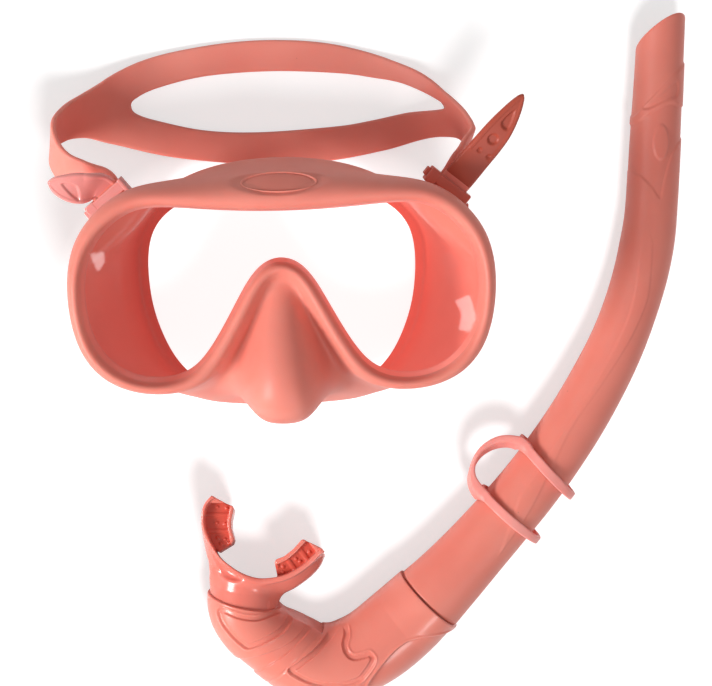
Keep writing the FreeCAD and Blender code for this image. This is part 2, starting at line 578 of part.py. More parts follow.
# Lip shield, plan outline (x, y): side facing the elbow, then side facing the tabs
SHIELD_OUTER = [
    (-38.2, -108.0), (-38.6, -118.0), (-36.4, -128.0), (-30.0, -136.4), (-20.0, -141.4),
    (-8.0, -143.6), (3.0, -142.2), (11.6, -136.4), (16.6, -128.0)]
SHIELD_INNER = [
    (14.4, -127.6), (9.4, -134.4), (1.6, -139.4), (-8.0, -140.4), (-18.8, -138.4),
    (-27.6, -133.8), (-33.4, -126.6), (-35.6, -118.0), (-35.4, -108.4)]
SHIELD_HALF_H = 13.5
# Plan corners (x, y) of the two bite tabs
BITE_TABS = [
    [(-33.4, -130.0), (-24.4, -134.0), (-22.8, -104.2), (-33.2, -99.6)],
    [(-7.6, -141.6), (0.8, -141.4), (15.8, -125.6), (6.0, -120.2)]]
TAB_HALF_H, TAB_FILLET = 8.0, 2.2


def elbow_loft(shrink, extend=0.0):
    """Elbow body, thinner all round by shrink and longer at both ends by extend."""
    last = len(ELBOW) - 1
    wires = []
    for i, (x, y, radius) in enumerate(ELBOW):
        centre = Vec(x, y, ELBOW_Z)
        half_up = ELBOW_HALF_H + (ELBOW_BULGE if 2 <= i <= 5 else 0.0)
        if i == 0:
            direction = SEAM_DIR
            centre = SEAM - SEAM_DIR * SEAM_GAP + SEAM_DIR * extend
            half_up = radius
        elif i == last:
            direction = ELBOW_END_DIR
            centre = centre - direction * extend
        else:
            before, after = ELBOW[i - 1], ELBOW[i + 1]
            direction = unit(Vec(before[0] - after[0], before[1] - after[1], 0))
        wires.append(ring(centre, direction, radius - shrink, half_up - shrink))
    return loft(wires)


def mouth_loft(rows):
    """Loft along the mouth axis; rows are (distance, half width in plan, half height)."""
    return loft([ring(MOUTH + MOUTH_AXIS * distance, MOUTH_AXIS, half_plan, half_up)
                 for distance, half_plan, half_up in rows])


def make_elbow():
    elbow = elbow_loft(0).cut(elbow_loft(ELBOW_WALL, 0.4))
    collar = cylinder(SEAM - SEAM_DIR * COLLAR_L, SEAM_DIR,
                      SLEEVE_RO + COLLAR_WALL, COLLAR_L - SEAM_GAP)
    elbow = elbow.fuse(collar.common(elbow_loft(0.3)))
    elbow = elbow.cut(cylinder(SEAM - SEAM_DIR * 14.6, SEAM_DIR,
                               SLEEVE_RO + SLEEVE_CLEAR, 20.0))
    # seat for the neck, then trim whatever stands past the mouth
    elbow = elbow.cut(mouth_loft([(-5.2, *SPIGOT), (3.0, *SPIGOT)]))
    beyond = Part.makeBox(80, 30, 80, Vec(-55, MOUTH.y, -20))
    return elbow.cut(beyond.common(mouth_loft([(0.0, 24, 24), (20, 24, 24)])))


def make_shield():
    z = ELBOW_Z - SHIELD_HALF_H
    outer = [Vec(x, y, z) for x, y in SHIELD_OUTER]
    inner = [Vec(x, y, z) for x, y in SHIELD_INNER]
    curves = []
    for points in (outer, inner):
        curve = Part.BSplineCurve()
        curve.interpolate(points)
        curves.append(curve.toShape())
    edges = [curves[0], Part.makeLine(outer[-1], inner[0]),
             curves[1], Part.makeLine(inner[-1], outer[0])]
    return prism(Part.Wire(edges), 2 * SHIELD_HALF_H)


def make_mouthpiece():
    mouth = mouth_loft([(-5.0, *SPIGOT), (1.0, *SPIGOT)])
    mouth = mouth.fuse(mouth_loft([(0.7, 16.2, 15.4), (5.5, 14.6, 12.6), (11.0, 13.8, 11.2)]))
    mouth = mouth.fuse(make_shield())
    for corners in BITE_TABS:
        tab = prism(plan_polygon(corners, ELBOW_Z - TAB_HALF_H), 2 * TAB_HALF_H)
        mouth = mouth.fuse(rounded(tab, TAB_FILLET))
    return mouth.cut(mouth_loft([(-8.0, 11.6, 11.4), (3.0, 10.4, 8.6), (16.0, 9.2, 6.2)]))


# ---- strap keeper -------------------------------------------------------------
KEEPER_RI, KEEPER_T = 13.95, 2.1
UPPER_BAND, UPPER_BAND_W = Vec(110.6, -92.6, 16.15), 8.4      # centre, width
LOWER_BAND, LOWER_BAND_W = Vec(98.2, -108.4, 16.35), 5.4
LOOP_STRIP_Z0, LOOP_STRIP_H = 13.0, 6.6
# Plan outline (x, y) of the flat loop: outer side out, inner side back
LOOP_OUTLINE = [
    (104.0, -84.0), (103.0, -77.6), (98.0, -75.2), (91.6, -75.2), (86.0, -77.8),
    (81.2, -82.8), (79.4, -88.4), (79.8, -94.2), (83.0, -99.2), (90.0, -104.8),
    (93.5, -107.5),
    (97.0, -104.5), (92.0, -99.0), (87.4, -95.4), (84.9, -92.0), (84.3, -88.0),
    (85.9, -83.8), (89.4, -81.4), (93.4, -81.2), (98.0, -84.6), (102.0, -88.0)]


def make_keeper():
    """Two soft bands round the tube and the flat loop that takes the mask strap."""
    axis = unit(UPPER_BAND - LOWER_BAND)
    upper, lower = [cylinder(centre - axis * (width / 2), axis, KEEPER_RI + KEEPER_T, width)
                    for centre, width in ((UPPER_BAND, UPPER_BAND_W),
                                          (LOWER_BAND, LOWER_BAND_W))]
    keeper = upper.fuse(lower)
    keeper = keeper.fuse(prism(plan_polygon(LOOP_OUTLINE, LOOP_STRIP_Z0), LOOP_STRIP_H))
    return keeper.cut(cylinder(LOWER_BAND - axis * 14, axis, KEEPER_RI, 52))


# ---- build and write ----------------------------------------------------------
os.makedirs("parts", exist_ok=True)

cage = skirt_cage()
lens = make_lens(cage)
badge = make_badge()
save("skirt", make_skirt(cage, lens, badge))
save("lens", lens)
save("brow_badge", badge)
for name, shape in buckle_parts(button_inner=True).items():
    save("right_" + name, shape)
for name, shape in buckle_parts(button_inner=False).items():
    save("left_" + name, shape.mirror(Vec(0, 0, 0), X_AXIS))
save("strap", make_strap())
save("snorkel_tube", make_tube())
save("coupling_sleeve", make_sleeve())
save("elbow", make_elbow())
save("mouthpiece", make_mouthpiece())
save("strap_keeper", make_keeper())
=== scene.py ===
"""Diving mask and snorkel, lying on a table at z = 0.

The mask lies lens up: brow towards +y, nose towards -y, strap folded on the table on the +y side.
The snorkel tube runs down the +x side and its elbow and mouthpiece lie on the -y side.
Lengths in the tables are millimetres. MM turns them into metres.
"""
import bpy
import bmesh
import math
import numpy as np
import openvdb
from mathutils import Matrix, Vector


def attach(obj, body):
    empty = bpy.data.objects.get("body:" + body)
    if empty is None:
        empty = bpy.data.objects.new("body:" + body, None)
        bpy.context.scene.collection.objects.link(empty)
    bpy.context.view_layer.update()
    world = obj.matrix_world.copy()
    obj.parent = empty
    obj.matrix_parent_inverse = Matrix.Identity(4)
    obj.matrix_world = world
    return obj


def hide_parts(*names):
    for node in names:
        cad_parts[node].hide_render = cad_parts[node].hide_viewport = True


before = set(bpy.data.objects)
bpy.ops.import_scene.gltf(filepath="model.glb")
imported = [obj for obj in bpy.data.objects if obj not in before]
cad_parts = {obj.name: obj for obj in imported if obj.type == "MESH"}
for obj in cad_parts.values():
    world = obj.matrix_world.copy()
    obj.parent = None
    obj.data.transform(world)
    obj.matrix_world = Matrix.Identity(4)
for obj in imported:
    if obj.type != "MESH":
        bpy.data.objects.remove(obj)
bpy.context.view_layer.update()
MM = 0.001


# ------------------------------------------------------------------ curves and distances
def catmull(points, steps, closed=False):
    """Catmull-Rom curve through the points, with so many steps per span."""
    p = np.array(points, float)
    count = len(p)
    curve = []
    for i in range(count if closed else count - 1):
        if closed:
            before, start, end, after = (p[(i + k) % count] for k in (-1, 0, 1, 2))
        else:
            start, end = p[i], p[i + 1]
            before = p[i - 1] if i else 2 * start - end
            after = p[i + 2] if i + 2 < count else 2 * end - start
        for k in range(steps):
            t = k / steps
            curve.append(0.5 * (2 * start + (end - before) * t
                                + (2 * before - 5 * start + 4 * end - after) * t * t
                                + (3 * start - before - 3 * end + after) * t ** 3))
    if not closed:
        curve.append(p[-1])
    return np.array(curve)


def between(side_a, side_b, steps=5):
    """Closed outline of the area between two curves that run the same way."""
    return np.vstack([catmull(side_a, steps), catmull(side_b, steps)[::-1]])


def line_distance(x, y, line):
    """Distance to an open polyline."""
    line = np.asarray(line, float)
    best = np.full(np.shape(x), 1e9)
    for (ax, ay), (bx, by) in zip(line[:-1], line[1:]):
        dx, dy = bx - ax, by - ay
        t = np.clip(((x - ax) * dx + (y - ay) * dy) / max(dx * dx + dy * dy, 1e-12), 0, 1)
        best = np.minimum(best, (x - ax - t * dx) ** 2 + (y - ay - t * dy) ** 2)
    return np.sqrt(best)


def outline_distance(x, y, outline):
    """Signed distance to a closed polygon, negative inside."""
    outline = np.asarray(outline, float)
    inside = np.zeros(np.shape(x), bool)
    for (ax, ay), (bx, by) in zip(outline, np.roll(outline, -1, axis=0)):
        if ay != by:
            inside ^= ((ay > y) != (by > y)) & (x < (bx - ax) * (y - ay) / (by - ay) + ax)
    distance = line_distance(x, y, np.vstack([outline, outline[:1]]))
    return np.where(inside, -distance, distance)


def ease(value, start, end):
    """Smooth step from 0 at start to 1 at end. The start may be above the end."""
    t = np.clip((value - start) / (end - start), 0, 1)
    return t * t * (3 - 2 * t)


def quarter_round(t):
    """Height of a unit quarter circle, from 0 at t = 0 to 1 at t = 1."""
    return np.sqrt(np.clip(1 - (1 - np.clip(t, 0, 1)) ** 2, 0, 1))


def lerp(a, b, t):
    return a + (b - a) * t


def unit(vector):
    vector = np.array(vector, float)
    return vector / np.linalg.norm(vector)


def arc_lengths(points):
    return np.concatenate([[0], np.cumsum(np.linalg.norm(np.diff(points, axis=0), axis=1))])


# ------------------------------------------------------------------ meshes
def make(name, verts, faces, mats, index=None):
    """Smooth mesh object. verts are in metres, index gives each face its material."""
    me = bpy.data.meshes.new(name)
    verts = np.asarray(verts, np.float32)
    me.vertices.add(len(verts))
    me.vertices.foreach_set("co", verts.ravel())
    sizes = np.array([len(face) for face in faces], np.int32)
    loops = np.concatenate(faces).astype(np.int32)
    me.loops.add(len(loops))
    me.loops.foreach_set("vertex_index", loops)
    me.polygons.add(len(sizes))
    me.polygons.foreach_set("loop_start", (np.cumsum(sizes) - sizes).astype(np.int32))
    me.polygons.foreach_set("loop_total", sizes)
    me.polygons.foreach_set("use_smooth", np.ones(len(sizes), bool))
    if index is not None:
        me.polygons.foreach_set("material_index", np.asarray(index, np.int32))
    me.update(calc_edges=True)
    me.validate()
    for mat in mats:
        me.materials.append(mat)
    piece = bpy.data.objects.new(name, me)
    bpy.context.scene.collection.objects.link(piece)
    return piece


def grid_faces(nu, nv, closed=False):
    """Quads of an nu by nv grid of vertices. A closed grid wraps both ways."""
    u, v = np.meshgrid(np.arange(nu if closed else nu - 1), np.arange(nv if closed else nv - 1),
                       indexing="ij")
    u, v = u.ravel(), v.ravel()
    u2, v2 = (u + 1) % nu, (v + 1) % nv
    return np.stack([u * nv + v, u2 * nv + v, u2 * nv + v2, u * nv + v2], 1)


def ring_solid(name, rings, mat):
    """Closed skin through rings of vertices that also close on each other."""
    rings = np.array(rings)
    faces = grid_faces(*rings.shape[:2], closed=True)
    return outward(make(name, rings.reshape(-1, 3) * MM, faces, [mat]))


def weld(piece, dist):
    """Weld coincident vertices and point every face outwards."""
    bm = bmesh.new()
    bm.from_mesh(piece.data)
    bmesh.ops.remove_doubles(bm, verts=bm.verts, dist=dist)
    bmesh.ops.dissolve_degenerate(bm, dist=dist * 0.5, edges=bm.edges)
    bmesh.ops.recalc_face_normals(bm, faces=bm.faces)
    bm.to_mesh(piece.data)
    bm.free()
    return piece


def vertex_places(me):
    co = np.zeros(len(me.vertices) * 3, np.float32)
    me.vertices.foreach_get("co", co)
    return co.reshape(-1, 3)


def outward(piece):
    """Flip a closed mesh whose volume is negative."""
    me = piece.data
    co = vertex_places(me).astype(float)
    me.calc_loop_triangles()
    tri = np.zeros(len(me.loop_triangles) * 3, np.int32)
    me.loop_triangles.foreach_get("vertices", tri)
    a, b, c = (co[corner] for corner in tri.reshape(-1, 3).T)
    if np.einsum("ij,ij->i", a, np.cross(b, c)).sum() < 0:
        me.flip_normals()
    return piece


def apply_mods(piece):
    depsgraph = bpy.context.evaluated_depsgraph_get()
    depsgraph.update()
    me = bpy.data.meshes.new_from_object(piece.evaluated_get(depsgraph))
    old = piece.data
    piece.modifiers.clear()
    piece.data = me
    me.name = piece.name
    bpy.data.meshes.remove(old)


def hand_over(piece, carrier, cad_node):
    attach(piece, carrier)
    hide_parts(cad_node)


# ------------------------------------------------------------------ voxel solids
VOXEL = 0.32


class Field:
    """A box of voxels in which solids are blended as signed distances."""

    def __init__(self, low, high):
        self.low = np.array(low, float)
        nx, ny, nz = (int(math.ceil((b - a) / VOXEL)) + 1 for a, b in zip(low, high))
        self.x = (low[0] + VOXEL * np.arange(nx))[:, None, None].astype(np.float32)
        self.y = (low[1] + VOXEL * np.arange(ny))[None, :, None].astype(np.float32)
        self.z = (low[2] + VOXEL * np.arange(nz))[None, None, :].astype(np.float32)
        self.shape = (nx, ny, nz)

    def plan(self, rows_below, rows_above):
        """x and y of a plan with spare rows at its low and high y ends."""
        y = (self.low[1] + VOXEL * np.arange(-rows_below, self.shape[1] + rows_above))[None, :]
        x = self.x[:, :, 0]
        return x + 0 * y, y + 0 * x

    def lean(self, plan, slope, level, rows_below):
        """Solid from a plan drawn at one level, moved along y by slope for each step in z."""
        out = np.empty(self.shape, np.float32)
        ny = self.shape[1]
        for k, height in enumerate(self.z[0, 0]):
            shift = slope * (level - height) / VOXEL + rows_below
            i = int(math.floor(shift))
            part = shift - i
            out[:, :, k] = plan[:, i:i + ny] * (1 - part) + plan[:, i + 1:i + 1 + ny] * part
        return out

    def mesh(self, name, distance, mats, smooth_steps):
        distance = np.ascontiguousarray(np.broadcast_to(distance, self.shape), np.float32)
        reach = 3 * VOXEL
        grid = openvdb.FloatGrid(float(reach))
        grid.copyFromArray(np.clip(distance, -reach, reach))
        points, tris, quads = grid.convertToPolygons(0.0, 0.0)
        faces = quads.tolist() + tris.tolist()
        piece = make(name, (self.low + points * VOXEL) * MM, faces, mats)
        relax = piece.modifiers.new("relax", "SMOOTH")
        relax.factor, relax.iterations = 0.5, smooth_steps
        apply_mods(piece)
        return outward(piece)


def blend_min(a, b, width):
    """Union with a fillet of about the given width."""
    t = np.clip(0.5 + 0.5 * (b - a) / width, 0, 1)
    return b + (a - b) * t - width * t * (1 - t)


def blend_max(a, b, width):
    """Intersection with an edge rounded by about the given width."""
    return -blend_min(-a, -b, width)


def slab(plan, z, middle, half, edge):
    """Plan distance made solid between middle - half and middle + half, edges rounded."""
    out, over = plan + edge, np.abs(z - middle) - half + edge
    corner = np.sqrt(np.maximum(out, 0) ** 2 + np.maximum(over, 0) ** 2)
    return np.minimum(np.maximum(out, over), 0) + corner - edge


# ------------------------------------------------------------------ materials
def new_material(name, empty=False):
    mat = bpy.data.materials.new(name)
    mat.use_nodes = True
    if empty:
        mat.node_tree.nodes.clear()
    return mat, mat.node_tree


def set_inputs(tree, node, values):
    """Each value is a number, a colour or an output socket to link from."""
    for socket, value in values.items():
        if isinstance(value, bpy.types.NodeSocket):
            tree.links.new(value, node.inputs[socket])
        else:
            node.inputs[socket].default_value = value


def add_node(tree, kind, values=None, **settings):
    node = tree.nodes.new("ShaderNode" + kind)
    for key, value in settings.items():
        setattr(node, key, value)
    set_inputs(tree, node, values or {})
    return node


def map_range(tree, value, to_min, to_max, from_min=0.0, from_max=1.0):
    return add_node(tree, "MapRange", {
        "Value": value, "From Min": from_min, "From Max": from_max,
        "To Min": to_min, "To Max": to_max}).outputs["Result"]


def coral(name, rough=0.46, base=(0.81, 0.242, 0.184), sss=0.25, bump=0.05, sheen=0.15,
          coat=0.0, dust=0.0):
    """Soft moulded silicone or plastic: faint colour clouds, satin grain, a little light
    under the skin and, where dust is above 0, sparse dark specks of that strength."""
    mat, tree = new_material(name)
    position = add_node(tree, "NewGeometry").outputs["Position"]
    cloud = add_node(tree, "TexNoise", {"Scale": 26.0, "Detail": 3.0, "Vector": position})
    ramp = add_node(tree, "ValToRGB", {"Fac": cloud.outputs["Fac"]})
    red, green, blue = base
    dark, light = ramp.color_ramp.elements
    dark.position = 0.32
    dark.color = (red * 0.965, green * 0.90, blue * 0.90, 1)
    light.position = 0.70
    light.color = (red * 1.025, green * 1.08, blue * 1.09, 1)
    colour = ramp.outputs["Color"]
    if dust > 0:
        speck = add_node(tree, "TexVoronoi", {"Scale": 85.0, "Vector": position})
        amount = map_range(tree, speck.outputs["Distance"], from_min=0.020, from_max=0.045,
                           to_min=dust, to_max=0.0)
        mix = add_node(tree, "Mix", {"B": (0.16, 0.035, 0.025, 1), "Factor": amount,
                                     "A": colour}, data_type="RGBA")
        colour = mix.outputs["Result"]
    grain = add_node(tree, "TexNoise", {"Scale": 1500.0, "Detail": 2.0, "Vector": position})
    patches = add_node(tree, "TexNoise", {"Scale": 90.0, "Detail": 1.0, "Vector": position})
    roughness = map_range(tree, patches.outputs["Fac"], to_min=rough - 0.05, to_max=rough + 0.06)
    relief = add_node(tree, "Bump", {"Strength": bump, "Distance": 0.0004,
                                     "Height": grain.outputs["Fac"]})
    set_inputs(tree, tree.nodes["Principled BSDF"], {
        "Base Color": colour, "Roughness": roughness, "Normal": relief.outputs["Normal"],
        "Subsurface Weight": sss, "Subsurface Radius": (1.0, 0.32, 0.22),
        "Subsurface Scale": 0.003,
        "Sheen Weight": sheen, "Sheen Roughness": 0.45, "Sheen Tint": (1.0, 0.72, 0.68, 1),
        "Coat Weight": coat, "Coat Roughness": 0.12, "IOR": 1.42})
    return mat


def lining_look():
    """Inside of the skirt, with painted light: a coral emission that grows from -x to +x, standing
    in for light through the silicone and for the brighter lit +x side.
    """
    mat = coral("coral_lining_painted_light_look", rough=0.34, base=(0.80, 0.21, 0.155), sss=0.15, coat=0.2)
    tree = mat.node_tree
    place = add_node(tree, "NewGeometry").outputs["Position"]
    across = add_node(tree, "SeparateXYZ", {"Vector": place}).outputs["X"]
    # painted light: emission strength rises from -x to +x across the lining
    glow = map_range(tree, across, from_min=-0.075, from_max=0.075, to_min=0.10, to_max=0.36)
    set_inputs(tree, tree.nodes["Principled BSDF"], {
        "Emission Color": (0.80, 0.185, 0.145, 1), "Emission Strength": glow})
    return mat


def steel_look():
    mat, tree = new_material("pin_look")
    noise = add_node(tree, "TexNoise", {"Scale": 900.0})
    set_inputs(tree, tree.nodes["Principled BSDF"], {
        "Base Color": (0.62, 0.62, 0.64, 1), "Metallic": 1.0,
        "Roughness": map_range(tree, noise.outputs["Fac"], to_min=0.22, to_max=0.36)})
    return mat


def lens_look():
    """Clear glass that reflects only on the way in, so the far face never goes dark."""
    mat, tree = new_material("lens_look", empty=True)
    output = add_node(tree, "OutputMaterial")
    clear = add_node(tree, "BsdfTransparent", {"Color": (0.985, 0.985, 0.985, 1)})
    shine = add_node(tree, "BsdfGlossy", {"Roughness": 0.02})
    fresnel = add_node(tree, "Fresnel", {"IOR": 1.5})
    mix = add_node(tree, "MixShader", {1: clear.outputs["BSDF"], 2: shine.outputs["BSDF"]})
    geometry = add_node(tree, "NewGeometry")
    noise = add_node(tree, "TexNoise", {"Scale": 14.0, "Vector": geometry.outputs["Position"]})
    bump = add_node(tree, "Bump", {"Strength": 0.02, "Distance": 0.001,
                                   "Height": noise.outputs["Fac"]})
    set_inputs(tree, shine, {"Normal": bump.outputs["Normal"]})
    front = add_node(tree, "Math", {0: 1.0, 1: geometry.outputs["Backfacing"]},
                     operation="SUBTRACT")
    amount = add_node(tree, "Math", {0: fresnel.outputs[0], 1: front.outputs[0]},
                      operation="MULTIPLY")
    set_inputs(tree, mix, {0: amount.outputs[0]})
    set_inputs(tree, output, {"Surface": mix.outputs["Shader"]})
    return mat


silicone = coral("coral_silicone_look")
painted_light_lining = lining_look()
strap_mat = coral("coral_strap_look", rough=0.48, base=(0.90, 0.285, 0.222), dust=0.35)
# painted shade: a dark copy of the strap coral for the +x tail, which lies in shade
painted_shade_tail_mat = coral("coral_tail_painted_shade_look", rough=0.44, base=(0.47, 0.080, 0.045), sss=0.0, sheen=0.0)
# partly real gloss, partly painted light: a lighter, pinker copy of the coral for the lit -x tail
# and -x buckle covers
gloss_and_painted_light = coral("coral_gloss_painted_light_look", rough=0.16, base=(0.88, 0.33, 0.30), coat=0.7, bump=0.02,
              sheen=0.1)
mouth_mat = coral("coral_mouth_look", rough=0.24, base=(0.80, 0.205, 0.155), coat=0.35, bump=0.03)
tube_mat = coral("coral_tube_look", rough=0.42, base=(0.79, 0.232, 0.174), dust=0.25)
plastic = coral("coral_plastic_look", rough=0.30, base=(0.74, 0.145, 0.092), sss=0.08, coat=0.2,
                bump=0.03)
# painted shade: a darker, redder copy of the coral for the sunk floors of the bite blocks
shade_mat = coral("coral_shade_look", rough=0.34, base=(0.64, 0.082, 0.050), sss=0.0, coat=0.15,
                  bump=0.03, sheen=0.0)
elbow_mat = coral("coral_elbow_look", rough=0.30, base=(0.79, 0.232, 0.174), coat=0.25, bump=0.03)
keeper_mat = coral("coral_keeper_look", rough=0.42, base=(0.90, 0.31, 0.27))
white = coral("white_plastic_look", rough=0.35, base=(0.86, 0.86, 0.85), sss=0.1, bump=0.02,
              sheen=0.0)
steel = steel_look()
glass = lens_look()

# ------------------------------------------------------------------ skirt, rim and nose
# Stations of the +x half from the brow round to the cheek. Columns: lens edge (x, y), outer
# edge of the rim (x, y), then (x, y, z) of three wall points, the lip and the free edge.
SIDE = [
    ((0, 31.6), (0, 46.4),
     (0, 48.6, 54), (0, 50.6, 44), (0, 47.2, 33), (0, 39.5, 24.5), (0, 33.5, 30)),
    ((15, 31.9), (15.5, 45.9),
     (15.5, 47.9, 54), (15.5, 49.6, 43), (15.5, 46.2, 32), (15, 38.8, 24), (14.5, 33, 29.5)),
    ((30, 32.9), (31, 44.8),
     (30.5, 45.6, 53), (30.5, 46.4, 41.5), (30, 43.5, 29), (29.5, 37.5, 21.5), (28.5, 31.8, 27.5)),
    ((43, 34.1), (45, 43.7),
     (43, 41.6, 52), (42.5, 40.9, 38), (42, 38.5, 25), (41, 34.5, 17), (39.5, 28.8, 23.5)),
    ((54.8, 34.4), (57.8, 42.2),
     (52, 36.5, 51), (51.5, 34.5, 35), (50.5, 32.5, 20), (49.5, 29, 11), (47, 24.2, 18)),
    ((63.8, 31.0), (67.9, 37.3),
     (57.6, 27.2, 50), (58, 27.2, 33), (57.2, 25.6, 16), (56, 23, 6), (51.5, 18.8, 14)),
    ((71.3, 25.0), (76.3, 29.9),
     (64.6, 20.2, 50), (64.5, 20.2, 32), (63, 18.6, 13), (60.5, 16, -0.6), (54, 13, 11.5)),
    ((77.0, 17.1), (82.8, 20.6),
     (71.8, 13.8, 50), (70, 13.6, 32), (66.5, 12, 12), (62.5, 9, -4.9), (55.2, 6.5, 10.5)),
    ((80.1, 7.5), (86.0, 8.7),
     (79.2, 7, 51), (73.5, 6, 32), (68, 4.5, 11.5), (63, 2, -5.7), (55.6, 0, 10.3)),
    ((80.7, -3.0), (86.3, -3.5),
     (81, -3.5, 52), (74.5, -4, 32), (68.3, -5, 11), (62.8, -6, -5.8), (55.3, -6.5, 10.3)),
    ((79.4, -13.6), (84.9, -14.8),
     (80, -14.5, 52), (73.8, -14.5, 32), (67.5, -15, 11), (61.8, -15, -5.8), (54.5, -14, 10.5)),
    ((75.9, -23.6), (81.4, -26.0),
     (76.5, -25, 51), (71, -25.5, 32), (65.2, -25.5, 11), (59.5, -24, -5.4), (52.7, -21.8, 11)),
    ((69.2, -31.4), (73.9, -35.7),
     (70.5, -34.5, 50), (66, -35.5, 31), (61, -35.5, 11.5), (55.8, -33, -2.6), (49.8, -29.5, 12)),
    ((60.9, -36.2), (63.1, -41.2),
     (61.5, -41.5, 50), (58.5, -43.5, 31), (55, -44, 12.5), (50.8, -40.8, 2.5),
     (46.2, -36.8, 13.5)),
    ((51.5, -37.8), (51.8, -43.0),
     (51.5, -45, 50), (50, -48.5, 32), (48, -50, 15.5), (44.8, -47, 6.5), (41.8, -42.2, 15.5)),
    ((43, -36.9), (41.5, -42.3),
     (42.5, -46.5, 50), (41.8, -51.5, 34), (40.5, -54, 19.5), (38.5, -51.8, 11), (36.5, -46, 18.5)),
    ((36.2, -34.0), (33, -39.6),
     (34.5, -46, 50), (34, -52, 36), (33.5, -56, 23.5), (32.5, -55, 15), (31, -48.5, 21.5)),
]
# Stations from the cheek to the middle of the nose: (x, y, z) from the lens edge over the
# rim and down the wall to the lip and the free edge.
NOSE = [
    [(31.2, -29.2, 74.3), (30.3, -30.1, 77.8), (28.6, -32.4, 78.6), (27.2, -34.6, 74.5),
     (27, -36.2, 68), (27.2, -39, 62), (27.6, -43, 54), (28, -47.5, 46), (28, -51.5, 38),
     (27.6, -54.5, 30), (27, -57, 25), (26.5, -56.8, 17.5), (25.5, -50, 23.5)],
    [(26.6, -22.8, 74.3), (25.7, -23.5, 77.8), (23.8, -25.2, 78.6), (22, -27, 74.5),
     (21.4, -29.5, 67.5), (21.8, -34, 64.5), (22.6, -39.5, 61), (22.6, -44.5, 54), (22, -48.5, 45),
     (21.3, -52, 35), (20.8, -57, 27), (20.5, -58, 19.3), (20, -50.8, 25)],
    [(21.8, -14.6, 74.3), (20.8, -15.2, 77.8), (18.7, -16.6, 78.6), (16.8, -18.2, 74.5),
     (16, -21.5, 68.5), (16.6, -28.5, 68.5), (18, -36, 68), (18.6, -44, 63.5), (17.8, -49, 52),
     (16.4, -50.5, 40), (15.5, -56.5, 28.5), (15.2, -58.6, 20.5), (14.8, -51, 26.3)],
    [(17, -5.7, 74.3), (16, -6.2, 77.8), (13.9, -7.5, 78.6), (12, -9, 74.5),
     (11.2, -12.5, 70), (12.2, -22, 73), (14.4, -33.5, 77), (14.2, -45.4, 79), (12.5, -54.2, 65.5),
     (12, -53, 46), (10.8, -56.5, 29.5), (10.4, -59, 21.5), (10, -51.2, 27)],
    [(12, 3.3, 74.3), (11, 2.6, 77.8), (9.2, 1.2, 78.6), (7.7, -0.5, 74.5),
     (7, -4.5, 71), (7.8, -16, 77), (9.6, -30, 83.2), (9.9, -45.8, 85.8), (9.2, -57.0, 70.5),
     (8.6, -55, 49), (6.8, -56.5, 30.2), (6.5, -59.3, 22), (6.2, -51.3, 27.7)],
    [(6.4, 9.3, 74.3), (5.8, 8.2, 77.8), (4.8, 6.4, 78.6), (4, 4.2, 74.5),
     (3.6, 0, 72), (4.3, -13, 78.6), (5.2, -28, 86), (5.4, -45.8, 89), (5.2, -58.5, 73),
     (4.6, -55.6, 50), (3.3, -56.5, 30.7), (3.2, -59.5, 22.2), (3, -51.4, 28)],
    [(0, 11.2, 74.3), (0, 9.8, 77.8), (0, 7.8, 78.6), (0, 5.4, 74.5),
     (0, 1.5, 72.3), (0, -11.5, 79), (0, -27, 86.8), (0, -45.8, 90), (0, -58.7, 73.5),
     (0, -55.8, 50.2), (0, -56.5, 31), (0, -59.6, 22.4), (0, -51.4, 28.2)],
]
# Rim section as (share of the way from lens edge to outer edge, z): at the side, at the brow.
RIM_SECTION = [((0.12, 78.0), (0.05, 78.6)), ((0.60, 78.8), (0.42, 81.0)),
               ((1.02, 74.5), (0.90, 75.5)), ((1.03, 67.0), (1.02, 66.0))]
LENS_SEAT_Z = 74.3
# share of the way from the rim to the wall, by side station, for the point under the rim
UNDERCUT = {4: 0.6, 5: 0.8, 6: 0.82, 7: 0.76, 8: 0.58}
UNDERCUT_ELSE = 0.5
WALL, LIP_WALL, RIM_WALL = 2.1, 1.5, 2.5
RIM_FOOT, LIP = 4, 11   # columns of a cage row where the inner skin ends and starts
OUTER_COLUMNS = 12      # face columns that belong to the outer skin

# The oval inlay on the brow: middle, lean about x, half length and half height
INLAY_AT = (0, 42.4, 74.9)
INLAY_TILT = math.radians(-46.0)
INLAY_HALF = (15.5, 5.2)
INLAY_DROOP = 0.25
SEAT_HALF, SEAT_DEPTH, SEAT_REACH = (16.9, 6.0), 0.9, 6


def side_row(i):
    """Outer skin of one side station, from the lens edge to the free edge."""
    edge, outer, *wall, lip, free = SIDE[i]
    brow = max(0.0, min(1.0, (4.6 - i) / 1.6))
    under = UNDERCUT.get(i, UNDERCUT_ELSE)
    row = [Vector((*edge, LENS_SEAT_Z))]
    for (side_share, side_z), (brow_share, brow_z) in RIM_SECTION:
        share = lerp(side_share, brow_share, brow)
        row.append(Vector((lerp(edge[0], outer[0], share), lerp(edge[1], outer[1], share),
                           lerp(side_z, brow_z, brow))))
    foot = row[-1]
    high, middle, low = (Vector(p) for p in wall)
    row.append(Vector((lerp(foot.x, wall[0][0], under), lerp(foot.y, wall[0][1], under),
                       60.5 + 2 * (under - 0.5))))
    return row + [high, (high + middle) * 0.5, middle, (middle + low) * 0.5, low,
                  Vector(lip), Vector(free)]


def nose_row(points):
    row = [Vector(p) for p in points]
    row[1].xy = row[0].xy * 0.55 + row[1].xy * 0.45
    return row


